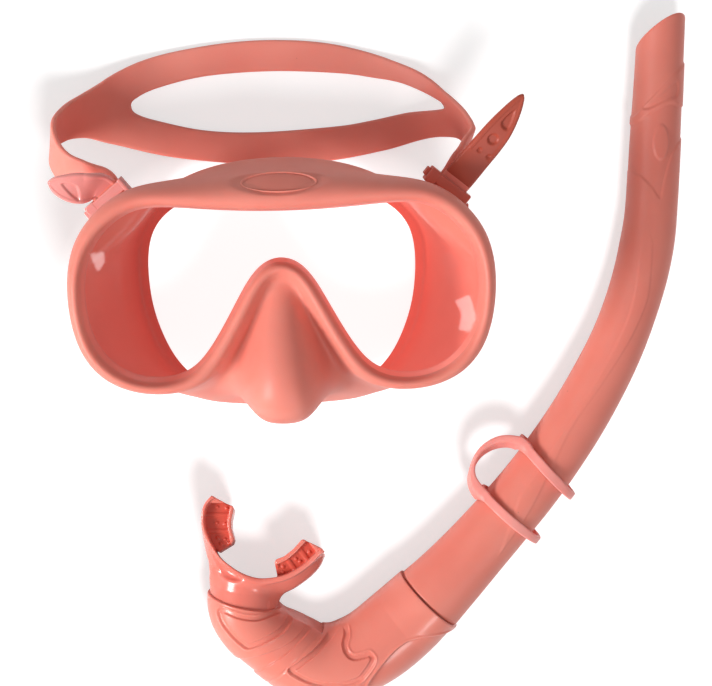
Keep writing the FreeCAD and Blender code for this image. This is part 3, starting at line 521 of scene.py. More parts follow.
def skirt_cage():
    """Control rows all round the mask: outer skin, then inner skin back to the lens edge."""
    half = [side_row(i) for i in range(len(SIDE))] + [nose_row(points) for points in NOSE]
    full = half + [[Vector((-p.x, p.y, p.z)) for p in row] for row in half[-2:0:-1]]
    thickness = {LIP: LIP_WALL, LIP - 1: (LIP_WALL + WALL) / 2, RIM_FOOT: RIM_WALL}
    cage = []
    for i, row in enumerate(full):
        before, after = full[i - 1], full[(i + 1) % len(full)]
        inner = []
        for k in range(LIP, RIM_FOOT - 1, -1):
            normal = (after[k] - before[k]).cross(row[k + 1] - row[k - 1]).normalized()
            inner.append(row[k] - normal * thickness.get(k, WALL))
        out = Vector((before[0].y - after[0].y, after[0].x - before[0].x, 0)).normalized()
        back = row[0] - out * 1.3
        cage.append(row + inner + [Vector((back.x, back.y, 65.6)), Vector((back.x, back.y, 69.9))])
    return np.array([[tuple(p) for p in row] for row in cage])


def sink_inlay_seat(co):
    """Press the shallow oval seat of the inlay into the brow."""
    cos, sin = math.cos(-INLAY_TILT), math.sin(-INLAY_TILT)
    x, y, z = co[:, 0], co[:, 1] - INLAY_AT[1] * MM, co[:, 2] - INLAY_AT[2] * MM
    along, height = y * cos - z * sin, y * sin + z * cos
    radius = np.sqrt((x / (SEAT_HALF[0] * MM)) ** 2 + (along / (SEAT_HALF[1] * MM)) ** 2)
    near = np.abs(height) < SEAT_REACH * MM
    depth = ease(radius, 1.12, 1.0) * near * SEAT_DEPTH * MM
    return co - depth[:, None] * np.array([0, sin, cos])[None, :]


def mask_skirt():
    cage = skirt_cage()
    rows, columns = cage.shape[:2]
    # the inner skin takes the lining with its painted light glow
    index = np.tile((np.arange(columns) >= OUTER_COLUMNS).astype(int), rows)
    piece = make("mask_skirt", cage.reshape(-1, 3) * MM, grid_faces(rows, columns, closed=True),
                 [silicone, painted_light_lining], index=index)
    sub = piece.modifiers.new("limit", "SUBSURF")
    sub.levels = sub.render_levels = 3
    sub.use_limit_surface = True
    apply_mods(piece)
    me = piece.data
    co = vertex_places(me)
    co[:, 2] = np.maximum(co[:, 2], 0.0)   # the lip rests flat on the table
    me.vertices.foreach_set("co", sink_inlay_seat(co).astype(np.float32).ravel())
    outward(piece)
    me.polygons.foreach_set("use_smooth", np.ones(len(me.polygons), bool))
    me.update()
    return piece


hand_over(mask_skirt(), "mask", "skirt")

# Inlay section from the middle out: (share of the radius, height)
INLAY_SECTION = [
    (0.0, 0.62), (0.35, 0.60), (0.62, 0.52), (0.80, 0.40), (0.845, 0.34), (0.865, 0.10),
    (0.895, 0.06), (0.915, 0.30), (0.935, 0.62), (0.965, 0.74), (0.99, 0.62), (1.0, 0.30),
    (1.0, -1.9)]
INLAY_STEPS = 96


def brow_inlay():
    """Blank oval plate with a groove and a raised edge."""
    n = INLAY_STEPS
    verts = [(0, 0, INLAY_SECTION[0][1])]
    for share, z in INLAY_SECTION[1:]:
        for k in range(n):
            a = 2 * math.pi * k / n
            verts.append((INLAY_HALF[0] * share * math.cos(a), INLAY_HALF[1] * share * math.sin(a),
                          z - INLAY_DROOP * share * share * math.cos(a) ** 2))
    faces = [(0, 1 + k, 1 + (k + 1) % n) for k in range(n)]
    rings = len(INLAY_SECTION) - 1
    for i in range(rings - 1):
        a, b = 1 + i * n, 1 + (i + 1) * n
        faces += [(a + k, b + k, b + (k + 1) % n, a + (k + 1) % n) for k in range(n)]
    last = 1 + (rings - 1) * n
    faces.append(tuple(last + k for k in range(n))[::-1])
    turn = Matrix.Rotation(INLAY_TILT, 3, "X")
    verts = [tuple((turn @ Vector(v) + Vector(INLAY_AT)) * MM) for v in verts]
    return outward(make("brow_inlay", verts, faces, [silicone]))


hand_over(brow_inlay(), "mask", "brow_badge")

# ------------------------------------------------------------------ strap
# Each buckle loop has its own axes: side runs along its roller, out leads away from the mask.
# These are for +x; the -x loop is their mirror image.
LOOP_AT = (69.8, 37.9)
SIDE_X, SIDE_Y = 0.770, -0.638
OUT_X, OUT_Y = -SIDE_Y, SIDE_X
STRAP_T = 2.2
STRAP_HALF = 6.2
ROLLER_OUT, ROLLER_R, ROLLER_Z = -6.5, 2.4, 50.0
TURN_R = ROLLER_R + 0.2 + STRAP_T / 2   # the middle of the strap, 0.2 clear of the roller
TURN_TOP, TURN_BOTTOM = ROLLER_Z + TURN_R, ROLLER_Z - TURN_R
# +x tail from its tip: side, out, z, half width
RIGHT_TAIL = [(-1.4, 46.2, 63.0, 0.9), (-0.9, 42.0, 62.6, 2.7), (-0.2, 35.5, 61.8, 4.6),
              (0.3, 29.0, 60.9, 5.8), (0.5, 23.0, 59.8, STRAP_HALF)]
# Other stations: middle of the strap, direction across it, half width
RIGHT_BODY = [
    ((75.0, 45.4, 44.2), (-0.66, 0.50, 0.50), 6.6), ((76.8, 49.0, 42.2), (-0.42, 0.28, 0.86), 7.1),
    ((77.9, 52.2, 39.0), (-0.12, 0.10, 0.98), 7.7), ((78.9, 54.8, 35.0), (0.0, 0.10, 0.99), 8.2),
    ((78.2, 58.8, 27.6), (0.06, 0.42, 0.90), 8.8), ((74.2, 62.6, 19.2), (0.08, 0.72, 0.69), 9.5),
    ((69.0, 64.6, 12.6), (0.03, 0.93, 0.37), 11.2), ((59.0, 66.8, 7.4), (0, 0.99, 0.14), 15.4),
    ((45.0, 68.0, 4.2), (0, 1, 0), 20.0), ((24.0, 69.2, 2.0), (0, 1, 0), 24.8)]
STRAP_MIDDLE = [((-3.0, 69.9, 1.5), (0, 1, 0), 26.6)]
LEFT_TAIL = [
    ((-93.4, 43.4, 60.4), (0.5, 0.84, 0.26), 1.2), ((-90.8, 42.5, 60.4), (0.5, 0.84, 0.26), 3.5),
    ((-87.0, 41.3, 60.3), (0.54, 0.82, 0.22), 5.4), ((-83.2, 40.6, 59.9), (0.58, 0.80, 0.16), 6.5),
    ((-79.6, 40.3, 59.0), (0.64, 0.76, 0.08), 6.8)]
LEFT_BODY = [
    ((-77.2, 41.7, 43.6), (0.72, 0.58, 0.34), 7.4), ((-82.4, 43.4, 42.0), (0.64, 0.55, 0.54), 8.4),
    ((-89.0, 47.2, 39.0), (0.46, 0.46, 0.76), 9.0), ((-93.6, 53.6, 33.8), (0.28, 0.40, 0.87), 9.4),
    ((-94.0, 60.0, 27.6), (0.04, 0.45, 0.89), 9.4), ((-89.9, 64.4, 19.6), (-0.04, 0.70, 0.71), 9.6),
    ((-81.8, 66.9, 13.0), (-0.02, 0.92, 0.39), 10.6), ((-72.0, 68.0, 7.8), (0, 0.99, 0.14), 14.4),
    ((-58.0, 69.2, 4.6), (0, 1, 0), 19.4), ((-30.0, 69.9, 2.0), (0, 1, 0), 24.8)]
# Outline of the split in the wide part, x and y, from its +x end over the +y side
SPLIT = [(71.0, 67.2), (55, 76.2), (39.8, 79.6), (24.7, 81.8), (-3, 83.2), (-30.9, 81.7),
         (-51.2, 77.2), (-61, 72.8), (-62.8, 69.6), (-60.6, 66.4), (-51.7, 63.2), (-31.5, 58.6),
         (-8, 57.3), (24.3, 59.0), (39.6, 61.2), (54.8, 64.4)]
# Recesses in the upper face of the tails: rounded triangles (x, y), and dots (x, y, radius, depth)
TAIL_TRIANGLES = [[(94.8, 68.3), (92.0, 60.4), (89.2, 63.5)],
                  [(-87.8, 42.7), (-81.9, 41.8), (-81.7, 35.4)]]
TAIL_DOTS = [(86.1, 56.8, 2.2, 0.7), (80.7, 52.5, 0.95, 0.5), (84.5, 49.6, 0.95, 0.5),
             (-75.0, 35.0, 2.1, 0.6)]
# Sampling: fine steps near the tails, extra samples from each end of the split inwards
TAIL_RUN, TAIL_STEP = 52.0, 0.45
SPLIT_SAMPLES = np.array([-0.3, -0.15, 0.0, 0.02, 0.07, 0.15, 0.3, 0.5, 0.8, 1.2, 1.7, 2.4])
TIP_SAMPLES = np.array([0.0, 0.05, 0.15, 0.3, 0.5, 0.8, 1.1, 1.5])
EDGE_SAMPLES = np.array([0, 0.05, 0.18, 0.42, 0.75, 1.1])
MIDDLE_SHARES = np.linspace(0, 1, 17)[1:-1]


def on_loop(mirror, side, out, z):
    """Place in the axes of a buckle loop. mirror is 1 for the +x loop and -1 for the -x one."""
    return np.array([mirror * (LOOP_AT[0] + SIDE_X * side + OUT_X * out),
                     LOOP_AT[1] + SIDE_Y * side + OUT_Y * out, z])


def along_roller(mirror, rise=0.0):
    return unit((-mirror * SIDE_X, -SIDE_Y, rise))


def roller_turn(mirror):
    """Stations round the roller, from above it to the run that leaves below it."""
    places = []
    for k in range(7):
        a = math.radians(90 + 30 * k)
        places.append((ROLLER_OUT + TURN_R * math.cos(a), ROLLER_Z + TURN_R * math.sin(a)))
    places += [(ROLLER_OUT + 2.0, TURN_BOTTOM), (0.5, TURN_BOTTOM - 0.4)]
    across = along_roller(mirror)
    return [(on_loop(mirror, 0.6, out, z), across, STRAP_HALF) for out, z in places]


def measured(stations):
    return [(np.array(place), unit(across), half) for place, across, half in stations]


def strap_stations():
    """Rows of place, direction across and half width, from the +x tip to the -x tip."""
    tail_across = unit((-SIDE_X * 0.95, -SIDE_Y * 0.95, 0.30))
    right = [(on_loop(1, side, out, z), tail_across, half) for side, out, z, half in RIGHT_TAIL]
    for side, out, z, rise in ((0.5, 13.5, 57.8, 0.2), (0.6, 5.5, 55.6, 0.06),
                               (0.6, 1.0, TURN_TOP + 0.3, 0.0),
                               (0.6, ROLLER_OUT + 1.5, TURN_TOP, 0.0)):
        right.append((on_loop(1, side, out, z), along_roller(1, rise), STRAP_HALF))
    right += roller_turn(1)
    right.append((on_loop(1, 0.4, 3.8, TURN_BOTTOM - 1.0), unit((-0.75, 0.62, 0.14)), STRAP_HALF))
    left = measured(LEFT_TAIL) + [
        (on_loop(-1, 1.1, 4.2, 55.9), unit((0.75, 0.66, 0.01)), STRAP_HALF),
        (on_loop(-1, 0.6, 1.3, TURN_TOP + 0.45), along_roller(-1), 6.1),
        (on_loop(-1, 0.6, -3.4, TURN_TOP), along_roller(-1), STRAP_HALF)]
    left += roller_turn(-1)
    left.append((on_loop(-1, 0.6, 3.8, TURN_BOTTOM - 1.3), unit((0.77, 0.638, 0.08)), 6.6))
    left += measured(LEFT_BODY)
    stations = right + measured(RIGHT_BODY) + measured(STRAP_MIDDLE) + left[::-1]
    return np.array([[*place, *across, half] for place, across, half in stations])


def chord_curve(rows):
    """Chord-length Catmull-Rom, so short spans round the roller stay round: curve, length."""
    s = arc_lengths(rows[:, :3])
    gap = np.diff(s)[:, None]
    slope = np.diff(rows, axis=0) / gap
    both = gap[:-1] + gap[1:]
    inner = slope[:-1] * gap[1:] / both + slope[1:] * gap[:-1] / both
    tangent = np.vstack([slope[:1], inner, slope[-1:]])

    def at(q):
        i = np.clip(np.searchsorted(s, q, "right") - 1, 0, len(s) - 2)
        h = (s[i + 1] - s[i])[:, None]
        t = ((q - s[i]) / (s[i + 1] - s[i]))[:, None]
        return (rows[i] * (2 * t ** 3 - 3 * t ** 2 + 1) + tangent[i] * h * (t ** 3 - 2 * t ** 2 + t)
                + rows[i + 1] * (3 * t ** 2 - 2 * t ** 3) + tangent[i + 1] * h * (t ** 3 - t ** 2))
    return at, s[-1]


def strap_samples(length, right_end, left_end):
    samples = [
        np.arange(0.0, TAIL_RUN, TAIL_STEP), np.arange(TAIL_RUN, right_end - 2, 0.9),
        np.arange(right_end - 2, right_end - 0.4, 0.3), right_end + SPLIT_SAMPLES,
        np.arange(right_end + 3, left_end - 3, 1.3), left_end - SPLIT_SAMPLES,
        np.arange(left_end + 0.5, left_end + 2, 0.3),
        np.arange(left_end + 2, length - TAIL_RUN, 0.9),
        np.arange(length - TAIL_RUN, length, TAIL_STEP), [length],
        TIP_SAMPLES, length - TIP_SAMPLES]
    return np.unique(np.round(np.concatenate(samples), 4))


def tail_relief(x, y, from_edge):
    """Moulded recesses and a raised hem near the long edges."""
    height = np.zeros(x.shape)
    for triangle in TAIL_TRIANGLES:
        height -= 0.75 * ease(outline_distance(x, y, catmull(triangle, 6, True)), 0.25, -0.55)
    for dot_x, dot_y, radius, depth in TAIL_DOTS:
        height -= depth * ease(np.hypot(x - dot_x, y - dot_y), radius + 0.25, radius - 0.5)
    return height + 0.22 * ease(from_edge, 2.2, 1.5) * ease(from_edge, 0.2, 0.9)


def head_strap():
    at, length = chord_curve(strap_stations())
    split = catmull(SPLIT, 24, True)
    turn = int(np.argmin(split[:, 0]))
    upper, lower = split[:turn + 1], np.vstack([split[turn:], split[:1]])
    upper, lower = upper[np.argsort(upper[:, 0])], lower[np.argsort(lower[:, 0])]
    x_right, x_left = split[:, 0].max(), split[:, 0].min()

    # where the path meets the two ends of the split
    fine = np.linspace(0, length, 8000)
    fine_x, fine_z = at(fine)[:, 0], at(fine)[:, 2]
    middle = fine[np.argmin(np.abs(fine_x + 3.0) + (np.abs(fine_z) > 20) * 1e3)]
    low = fine_z < 22
    right, left = (fine < middle) & low, (fine >= middle) & low
    right_end = fine[right][np.argmin(np.abs(fine_x[right] - x_right))]
    left_end = fine[left][np.argmin(np.abs(fine_x[left] - x_left))]

    # frame of the strap at every sample
    q = strap_samples(length, right_end, left_end)
    station = at(q)
    centre, across, half = station[:, :3], station[:, 3:6], station[:, 6]
    path = at(np.clip(q + 0.2, 0, length))[:, :3] - at(np.clip(q - 0.2, 0, length))[:, :3]
    path /= np.linalg.norm(path, axis=1)[:, None]
    across = across - path * np.einsum("ij,ij->i", path, across)[:, None]
    across /= np.linalg.norm(across, axis=1)[:, None]
    normal = np.cross(path, across)
    for from_tip in (q, length - q):
        half = np.where(from_tip < 2.0, half * quarter_round(from_tip / 2.0) + 1e-4, half)

    # two bands lie side by side; between the ends of the split they part along its outline
    x, y = centre[:, 0], centre[:, 1]
    inside = (q > right_end) & (q < left_end) & (x < x_right) & (x > x_left)
    on_right = q < (right_end + left_end) / 2
    end_y = np.where(on_right, np.interp(x_right, *upper.T), np.interp(x_left, *upper.T))
    fade = np.where(on_right, ease(q, right_end - 22, right_end - 3),
                    ease(length - q, length - left_end - 22, length - left_end - 3))
    joint = (end_y - y) / np.maximum(np.abs(across[:, 1]), 0.5)
    joint = np.clip(joint, -0.6 * half, 0.6 * half) * fade
    split_a = np.where(inside, (np.interp(x, *upper.T) - y) / across[:, 1], joint)
    split_b = np.where(inside, (np.interp(x, *lower.T) - y) / across[:, 1], joint)

    verts, faces, index = [], [], []
    for edge, inner in ((half, np.maximum(split_a, split_b)), (-half, np.minimum(split_a, split_b))):
        squeeze = np.minimum(1.0, np.abs(edge - inner) / 2.6)
        sign = np.sign(inner - edge)
        start = [edge + sign * o * squeeze for o in EDGE_SAMPLES]
        end = [inner - sign * o * squeeze for o in EDGE_SAMPLES[::-1]]
        between_them = [start[-1] + (end[0] - start[-1]) * share for share in MIDDLE_SHARES]
        offset = np.stack(start + between_them + end, 1)
        mid = centre[:, None, :] + across[:, None, :] * offset[:, :, None]

        # thickness falls off as a round towards the nearest edge
        from_edge = half[:, None] - np.abs(offset)
        from_tip = np.minimum(q, length - q)[:, None]
        from_split = np.full(offset.shape, 50.0)
        near = (q > right_end - 6) & (q < left_end + 6)
        from_split[near] = np.abs(outline_distance(mid[near][:, :, 0], mid[near][:, :, 1], split))
        from_split[inside, -1] = 0.0
        rounding = quarter_round(np.minimum(np.minimum(from_edge, from_tip), from_split))
        relief = tail_relief(mid[:, :, 0], mid[:, :, 1], from_edge)
        for side in (1, -1):
            face_up = (normal[:, 2] * side > 0)[:, None]
            on_tail = ((q < 30) | (q > length - 26))[:, None] & face_up & (mid[:, :, 2] > 53)
            lift = 0.5 * STRAP_T * rounding + np.where(on_tail, relief, 0) * rounding
            faces.append(grid_faces(*offset.shape) + len(verts) * offset.size)
            verts.append((mid + normal[:, None, :] * (lift * side)[:, :, None]).reshape(-1, 3))
            # painted light and shade: the -x tail end takes the lighter glossy copy, the +x tail the
            # dark shaded copy
            look = np.where(q[:-1] > length - 24, 1, np.where(q[:-1] < 43, 2, 0))
            index.append(np.repeat(look, offset.shape[1] - 1))
    piece = make("head_strap", np.vstack(verts) * MM, np.vstack(faces),
                 [strap_mat, gloss_and_painted_light, painted_shade_tail_mat], index=np.concatenate(index))
    return weld(piece, dist=4e-6)


hand_over(head_strap(), "strap_loop", "strap")

# ------------------------------------------------------------------ snorkel tube
# Stations from the open top to the seam with the elbow: x, y, z, radius
TUBE = [
    (162.55, 105.0, 12.0, 9.9), (161.6, 80.0, 12.0, 10.15), (160.3, 52.0, 12.0, 10.6),
    (158.95, 24.0, 12.0, 10.8), (157.5, 8.5, 12.2, 11.1), (154.6, -6.5, 12.6, 11.35),
    (150.2, -21.4, 13.0, 11.6), (144.4, -36.5, 13.5, 11.9), (137.2, -51.3, 14.0, 12.3),
    (127.3, -68.6, 15.0, 12.65), (115.9, -85.6, 15.8, 13.0), (104.6, -100.6, 16.3, 13.3),
    (92.9, -114.4, 16.6, 13.7), (83.0, -125.6, 16.9, 14.2), (75.2, -134.2, 17.1, 14.8),
    (67.9, -141.9, 17.3, 15.5), (61.6, -148.3, 17.4, 16.3)]
# Slanted plane of the open top: a point on it and its normal
TOP_POINT, TOP_NORMAL = (152.56, 91.12, 12.0), (-0.41, 0.78, -0.47)
SEAM = np.array((61.6, -148.3, 17.4))
SEAM_DIR = np.array((0.701, 0.713, 0.0))   # up the tube
TUBE_STEPS, TUBE_WALL = 168, 2.0
STRAIGHT_END = 40.0   # below this distance from the top the rings are square to the path
# Plan outlines of the raised and sunk shapes, x and y
BELT_UPPER = [(174, 85.5), (170.1, 81.8), (162.6, 75.4), (154.7, 66.4), (151.0, 61.6),
              (147.0, 57.0), (142, 52)]
BELT_LOWER = [(174, 64.2), (169.2, 65.5), (165.5, 66.8), (161.7, 66.0), (154.6, 61.4),
              (147.9, 55.4), (142, 50)]
BELT_RECESS = [(167.2, 76.0), (160.4, 70.6), (153.9, 65.4), (155.8, 64.6), (160.0, 66.6),
               (164.0, 68.4), (167.6, 69.6), (168.6, 73.0)]
NOTCH = [(143.0, 38.6), (151.0, 37.4), (154.2, 35.2), (157.6, 31.2), (160.6, 27.0), (161.4, 30.0),
         (162.4, 34.7), (164.5, 42.3), (167.0, 47.4), (174.0, 55.0)]
BELOW_NOTCH = [(190, 55), (190, -200), (60, -200), (60, 38.6)]
RIDGE_A = [(153.6, 24.3), (152.6, 4.0), (148.6, -19.5), (140.9, -37.4), (130.3, -55.6),
           (117.8, -73.8), (109.6, -86.6), (100.6, -99.4)]
RIDGE_B = [(157.6, 8.0), (156.4, -10.0), (154.6, -18.9), (148.4, -32.6), (136.9, -50.6),
           (123.3, -70.0), (113.0, -90.1), (103.5, -108.6), (91.2, -126.3)]
OVAL_AT, OVAL_HALF = (160.9, 50.8), (3.2, 7.3)
# Rolled edge of the open top: distance down from the cut, distance in from the skin
TOP_OUTSIDE = [(0.9, 0.0), (0.5, 0.06), (0.22, 0.22), (0.06, 0.5), (0.0, 0.8)]
TOP_INSIDE = [(0.0, 1.3), (0.08, 1.62), (0.3, 1.88), (0.7, TUBE_WALL)]


def tube_relief(x, y):
    height = 0.5 * ease(outline_distance(x, y, between(BELT_UPPER, BELT_LOWER)), 0.28, -0.28)
    height -= 0.6 * ease(outline_distance(x, y, catmull(BELT_RECESS, 5, True)), 0.2, -0.5)
    below = np.vstack([catmull(NOTCH, 5), BELOW_NOTCH])
    step = ease(outline_distance(x, y, below), 0.3, -0.3)
    # the -x arm of the notch fades out towards the side
    step = step * ease(y, -30, 8) * (1 - ease(y, 4, 24) * (1 - ease(x, 147, 152.5)))
    height += 0.45 * step
    oval = np.hypot((x - OVAL_AT[0]) / OVAL_HALF[0], (y - OVAL_AT[1]) / OVAL_HALF[1]) - 1
    height += 0.55 * ease(oval * OVAL_HALF[0], 0.35, -0.35)
    ridge = outline_distance(x, y, between(RIDGE_A, RIDGE_B))
    return height + 0.30 * ease(ridge, 0.3, -0.3) * ease(y, 20, 2)


def snorkel_barrel():
    path = catmull(TUBE, 40)
    s = arc_lengths(path[:, :3])
    length = s[-1]
    th = np.linspace(0, 2 * math.pi, TUBE_STEPS, endpoint=False)
    top = np.array(TUBE[0][:3])
    top_axis = unit(top - np.array(TUBE[1][:3]))
    top_side = np.array([-top_axis[1], top_axis[0], 0.0])

    def on_path(q):
        q = np.clip(q, 0, length)
        return np.stack([np.interp(q, s, path[:, k]) for k in range(3)], -1)

    def at(q):
        """Centre, direction up the tube and radius at distance q below the top point.
        A negative q goes straight on beyond that point."""
        on = np.clip(q, 0, length)
        up = on_path(on - 0.4) - on_path(on + 0.4)
        up /= np.linalg.norm(up, axis=-1)[..., None]
        to_seam = ease(on, length - 6, length)[..., None]
        up = up * (1 - to_seam) + SEAM_DIR * to_seam
        up /= np.linalg.norm(up, axis=-1)[..., None]
        centre = on_path(on) - up * np.minimum(q, 0)[..., None]
        return centre, up, np.interp(on, s, path[:, 3])

    def ring(q, inset, relief=True):
        """q and inset are single values or one for each angle."""
        q, inset = q + 0 * th, inset + 0 * th
        centre, axis, radius = at(q)
        side = np.stack([-axis[:, 1], axis[:, 0], 0 * axis[:, 0]], -1)
        side /= np.linalg.norm(side, axis=1)[:, None]
        up = np.cross(axis, side)
        up *= np.sign(up[:, 2])[:, None]
        spoke = side * np.cos(th)[:, None] + up * np.sin(th)[:, None]
        place = centre + spoke * (radius - inset)[:, None]
        if relief:
            fade = ease(q, length - 0.2, length - 3.5) * ease(q, 5.0, 9.0)
            place = place + spoke * (tube_relief(place[:, 0], place[:, 1]) * fade)[:, None]
        return place

    def to_cut(radius):
        """Distance q at which each angle of a straight tube meets the slanted plane."""
        rim = top + (top_side * np.cos(th)[:, None]
                     + np.array([0, 0, 1.0]) * np.sin(th)[:, None]) * radius
        return (rim - TOP_POINT) @ TOP_NORMAL / (top_axis[:2] @ TOP_NORMAL[:2])

    cut_out, cut_in = to_cut(9.95), to_cut(7.95)
    seam_end = length - 0.25
    rings = []
    # outside, bottom to top
    for q in [*np.arange(seam_end, 112.0, -0.9), *np.arange(112.0, STRAIGHT_END, -0.48)]:
        rings.append(ring(q, 0.35 * ease(q, length - 1.1, seam_end)))
    for k in range(60):
        rings.append(ring(cut_out + 0.9 + (STRAIGHT_END - cut_out - 0.9) * (1 - k / 60), 0.0))
    rings += [ring(cut_out + down, inset) for down, inset in TOP_OUTSIDE]
    rings += [ring(cut_in + down, inset, False) for down, inset in TOP_INSIDE]
    # inside, top to bottom
    for k in range(1, 16):
        q = cut_in + 0.7 + (STRAIGHT_END - cut_in - 0.7) * k / 15
        rings.append(ring(q, TUBE_WALL, False))
    for q in np.linspace(STRAIGHT_END + 4, seam_end, 60):
        rings.append(ring(q, TUBE_WALL, False))
    return ring_solid("snorkel_barrel", rings, tube_mat)


hand_over(snorkel_barrel(), "snorkel", "snorkel_tube")

# ------------------------------------------------------------------ elbow
# Stations from the seam to the mouthpiece: x, y, distance to the outer side of the bend
ELBOW = [
    (61.3, -148.6, 17.2), (49.8, -159.6, 18.3), (37.0, -168.6, 19.4), (24.0, -174.0, 20.2),
    (12.4, -175.2, 20.2), (2.8, -171.2, 18.9), (-6.0, -165.4, 17.8), (-13.8, -158.8, 17.3),
    (-18.3, -152.4, 17.0), (-19.9, -146.4, 16.6)]
ELBOW_INSIDE = [(38.3, -145.5), (27.5, -154.4), (20.8, -158.0), (16.8, -159.2), (13.6, -158.7),
                (9.8, -156.6), (4.5, -154.1), (-0.7, -152.1)]
ELBOW_Z, ELBOW_HALF_Z, ELBOW_WALL = 17.4, 16.2, 2.6
ELBOW_HALVES_Z = [17.2] + [ELBOW_HALF_Z + (0.6 if 2 <= i <= 5 else 0.0)
                           for i in range(1, len(ELBOW))]
ELBOW_STEPS, ELBOW_SPAN_STEPS = 300, 44
END_OUT = np.array((0.22, 0.975, 0.0))   # out of the end that meets the mouthpiece
# Plan outlines of the moulded shapes, x and y: two grooved pads, a band, a line, a corner
PAD_LEFT = [(-31.4, -148.2), (-28.5, -146.5), (-21.5, -148.6), (-14.6, -149.7), (-8.6, -149.0),
            (-3.8, -148.9), (0.6, -151.0), (1.0, -154.2), (-2.4, -157.8), (-10.1, -161.7),
            (-18.1, -165.1), (-21.6, -163.6), (-26.2, -159.1), (-30.4, -153.2)]
PAD_MIDDLE = [(22.6, -155.6), (25.6, -157.6), (26.0, -161.2), (25.0, -164.8), (27.2, -167.9),
              (31.4, -167.4), (34.6, -166.5), (37.0, -169.2), (36.6, -172.4), (33.6, -177.2),
              (29.6, -181.2), (20.0, -183.4), (10.0, -181.9), (1.2, -177.6), (-1.4, -174.4),
              (2.0, -171.6), (12.0, -164.4)]
BAND_A = [(14.0, -151.0), (8.8, -155.0), (1.2, -161.6), (-9.0, -166.2), (-21.3, -171.0),
          (-30, -174)]
BAND_B = [(18.0, -152.0), (9.0, -158.6), (-1.0, -166.6), (-12.0, -174.6), (-18.0, -181.0)]
THIN_LINE = [(19.5, -155.5), (10.0, -163.0), (2.0, -170.5), (-6.0, -178.5), (-12.0, -186.0)]
CORNER_EDGE = [(72, -161.0), (65.3, -161.4), (58.8, -161.4), (51.3, -162.8), (45.6, -166.7),
               (41.2, -171.6), (37.2, -177.0), (33.0, -184.5), (30.0, -200)]
CORNER_REST = [(120, -200), (120, -161)]


def elbow_relief(x, y):
    height = np.zeros(x.shape)
    for outline, width in ((PAD_LEFT, 2.3), (PAD_MIDDLE, 2.4)):
        pad = outline_distance(x, y, catmull(outline, 6, True))
        height -= 1.05 * ease(pad, 0.1, -0.35) * ease(pad, -width - 0.4, -width + 0.1)
        height += 0.35 * ease(pad, 1.2, 0.15) * ease(pad, -0.3, 0.05)
        height -= 0.10 * ease(pad, -width, -width - 0.8)
    height -= 0.75 * ease(outline_distance(x, y, between(BAND_A, BAND_B)), 0.3, -0.3)
    height -= 0.25 * ease(line_distance(x, y, catmull(THIN_LINE, 5)), 1.1, 0.1)
    corner = outline_distance(x, y, np.vstack([catmull(CORNER_EDGE, 5), CORNER_REST]))
    height -= 1.1 * ease(corner, 0.1, -0.45)
    return height + 0.35 * ease(np.abs(corner - 0.7), 0.8, 0.1)


def snorkel_elbow():
    path = catmull(ELBOW, ELBOW_SPAN_STEPS)
    path[0, :2] = (SEAM - SEAM_DIR * 0.12)[:2]
    last = len(path) - 1
    share = np.linspace(0, 1, last + 1)
    start_dir, end_dir = SEAM_DIR[:2], -END_OUT[:2]
    back = np.zeros((last + 1, 2))   # direction back towards the seam
    back[1:-1] = path[:-2, :2] - path[2:, :2]
    back[0] = start_dir
    back[-1] = end_dir
    back /= np.linalg.norm(back, axis=1)[:, None]
    # turn the first and last few sections towards their mating planes
    for i in range(1, 30):
        free = ease(i / 30.0, 0, 1)
        back[i] = start_dir * (1 - free) + back[i] * free
        back[last - i] = end_dir * (1 - free) + back[last - i] * free
    back /= np.linalg.norm(back, axis=1)[:, None]
    sides = np.stack([-back[:, 1], back[:, 0]], 1)
    outer_line = path[:, :2] - sides * path[:, 2:3]
    ends = path[[0, -1], :2] + sides[[0, -1]] * path[[0, -1], 2:3]
    inner_line = catmull([ends[0], *ELBOW_INSIDE, ends[1]], ELBOW_SPAN_STEPS)
    half_z = np.interp(share, np.linspace(0, 1, len(ELBOW)), ELBOW_HALVES_Z)
    th = np.linspace(0, 2 * math.pi, ELBOW_STEPS, endpoint=False)
    cos, sin = np.cos(th), np.sin(th)
    up = np.array([0, 0, 1.0])

    def ring(i, shrink, relief=False):
        span = inner_line[i] - outer_line[i]
        reach = np.linalg.norm(span)
        side = np.array([span[0] / reach, span[1] / reach, 0])
        centre = np.array([*((inner_line[i] + outer_line[i]) * 0.5), ELBOW_Z])
        wide, tall = reach * 0.5 - shrink, half_z[i] - shrink
        place = centre + side * (wide * cos)[:, None] + up * (tall * sin)[:, None]
        normal = side * (tall * cos)[:, None] + up * (wide * sin)[:, None]
        normal /= np.linalg.norm(normal, axis=1)[:, None]
        if i > (last + 1) // 2:
            # sections near the end are cut off at its mating plane
            over = (place - [*path[-1, :2], 0.0]) @ END_OUT + 0.035 * (last - i)
            place = place - END_OUT * np.maximum(over, 0)[:, None]
        if relief:
            fade = ease(share[i], 0.004, 0.03) * ease(share[i], 0.999, 0.985)
            fade = fade * (1.0 - ease(cos, 0.80, 0.95) * ease(share[i], 0.02, 0.10))
            place = place + normal * (elbow_relief(place[:, 0], place[:, 1]) * fade)[:, None]
        return place

    edges = {0: 0.12, last - 2: 0.1, last - 1: 0.35, last: 0.9}
    rings = [ring(0, 1.0), ring(0, 0.35)]
    rings += [ring(i, edges.get(i, 0.0), True) for i in range(last + 1)]
    rings.append(ring(last, 1.6))
    rings += [ring(i, ELBOW_WALL) for i in range(last, -1, -6)]
    rings.append(ring(0, ELBOW_WALL))   # the seam ring of the inner wall stands twice
    return ring_solid("snorkel_elbow", rings, elbow_mat)


hand_over(snorkel_elbow(), "elbow_unit", "elbow")

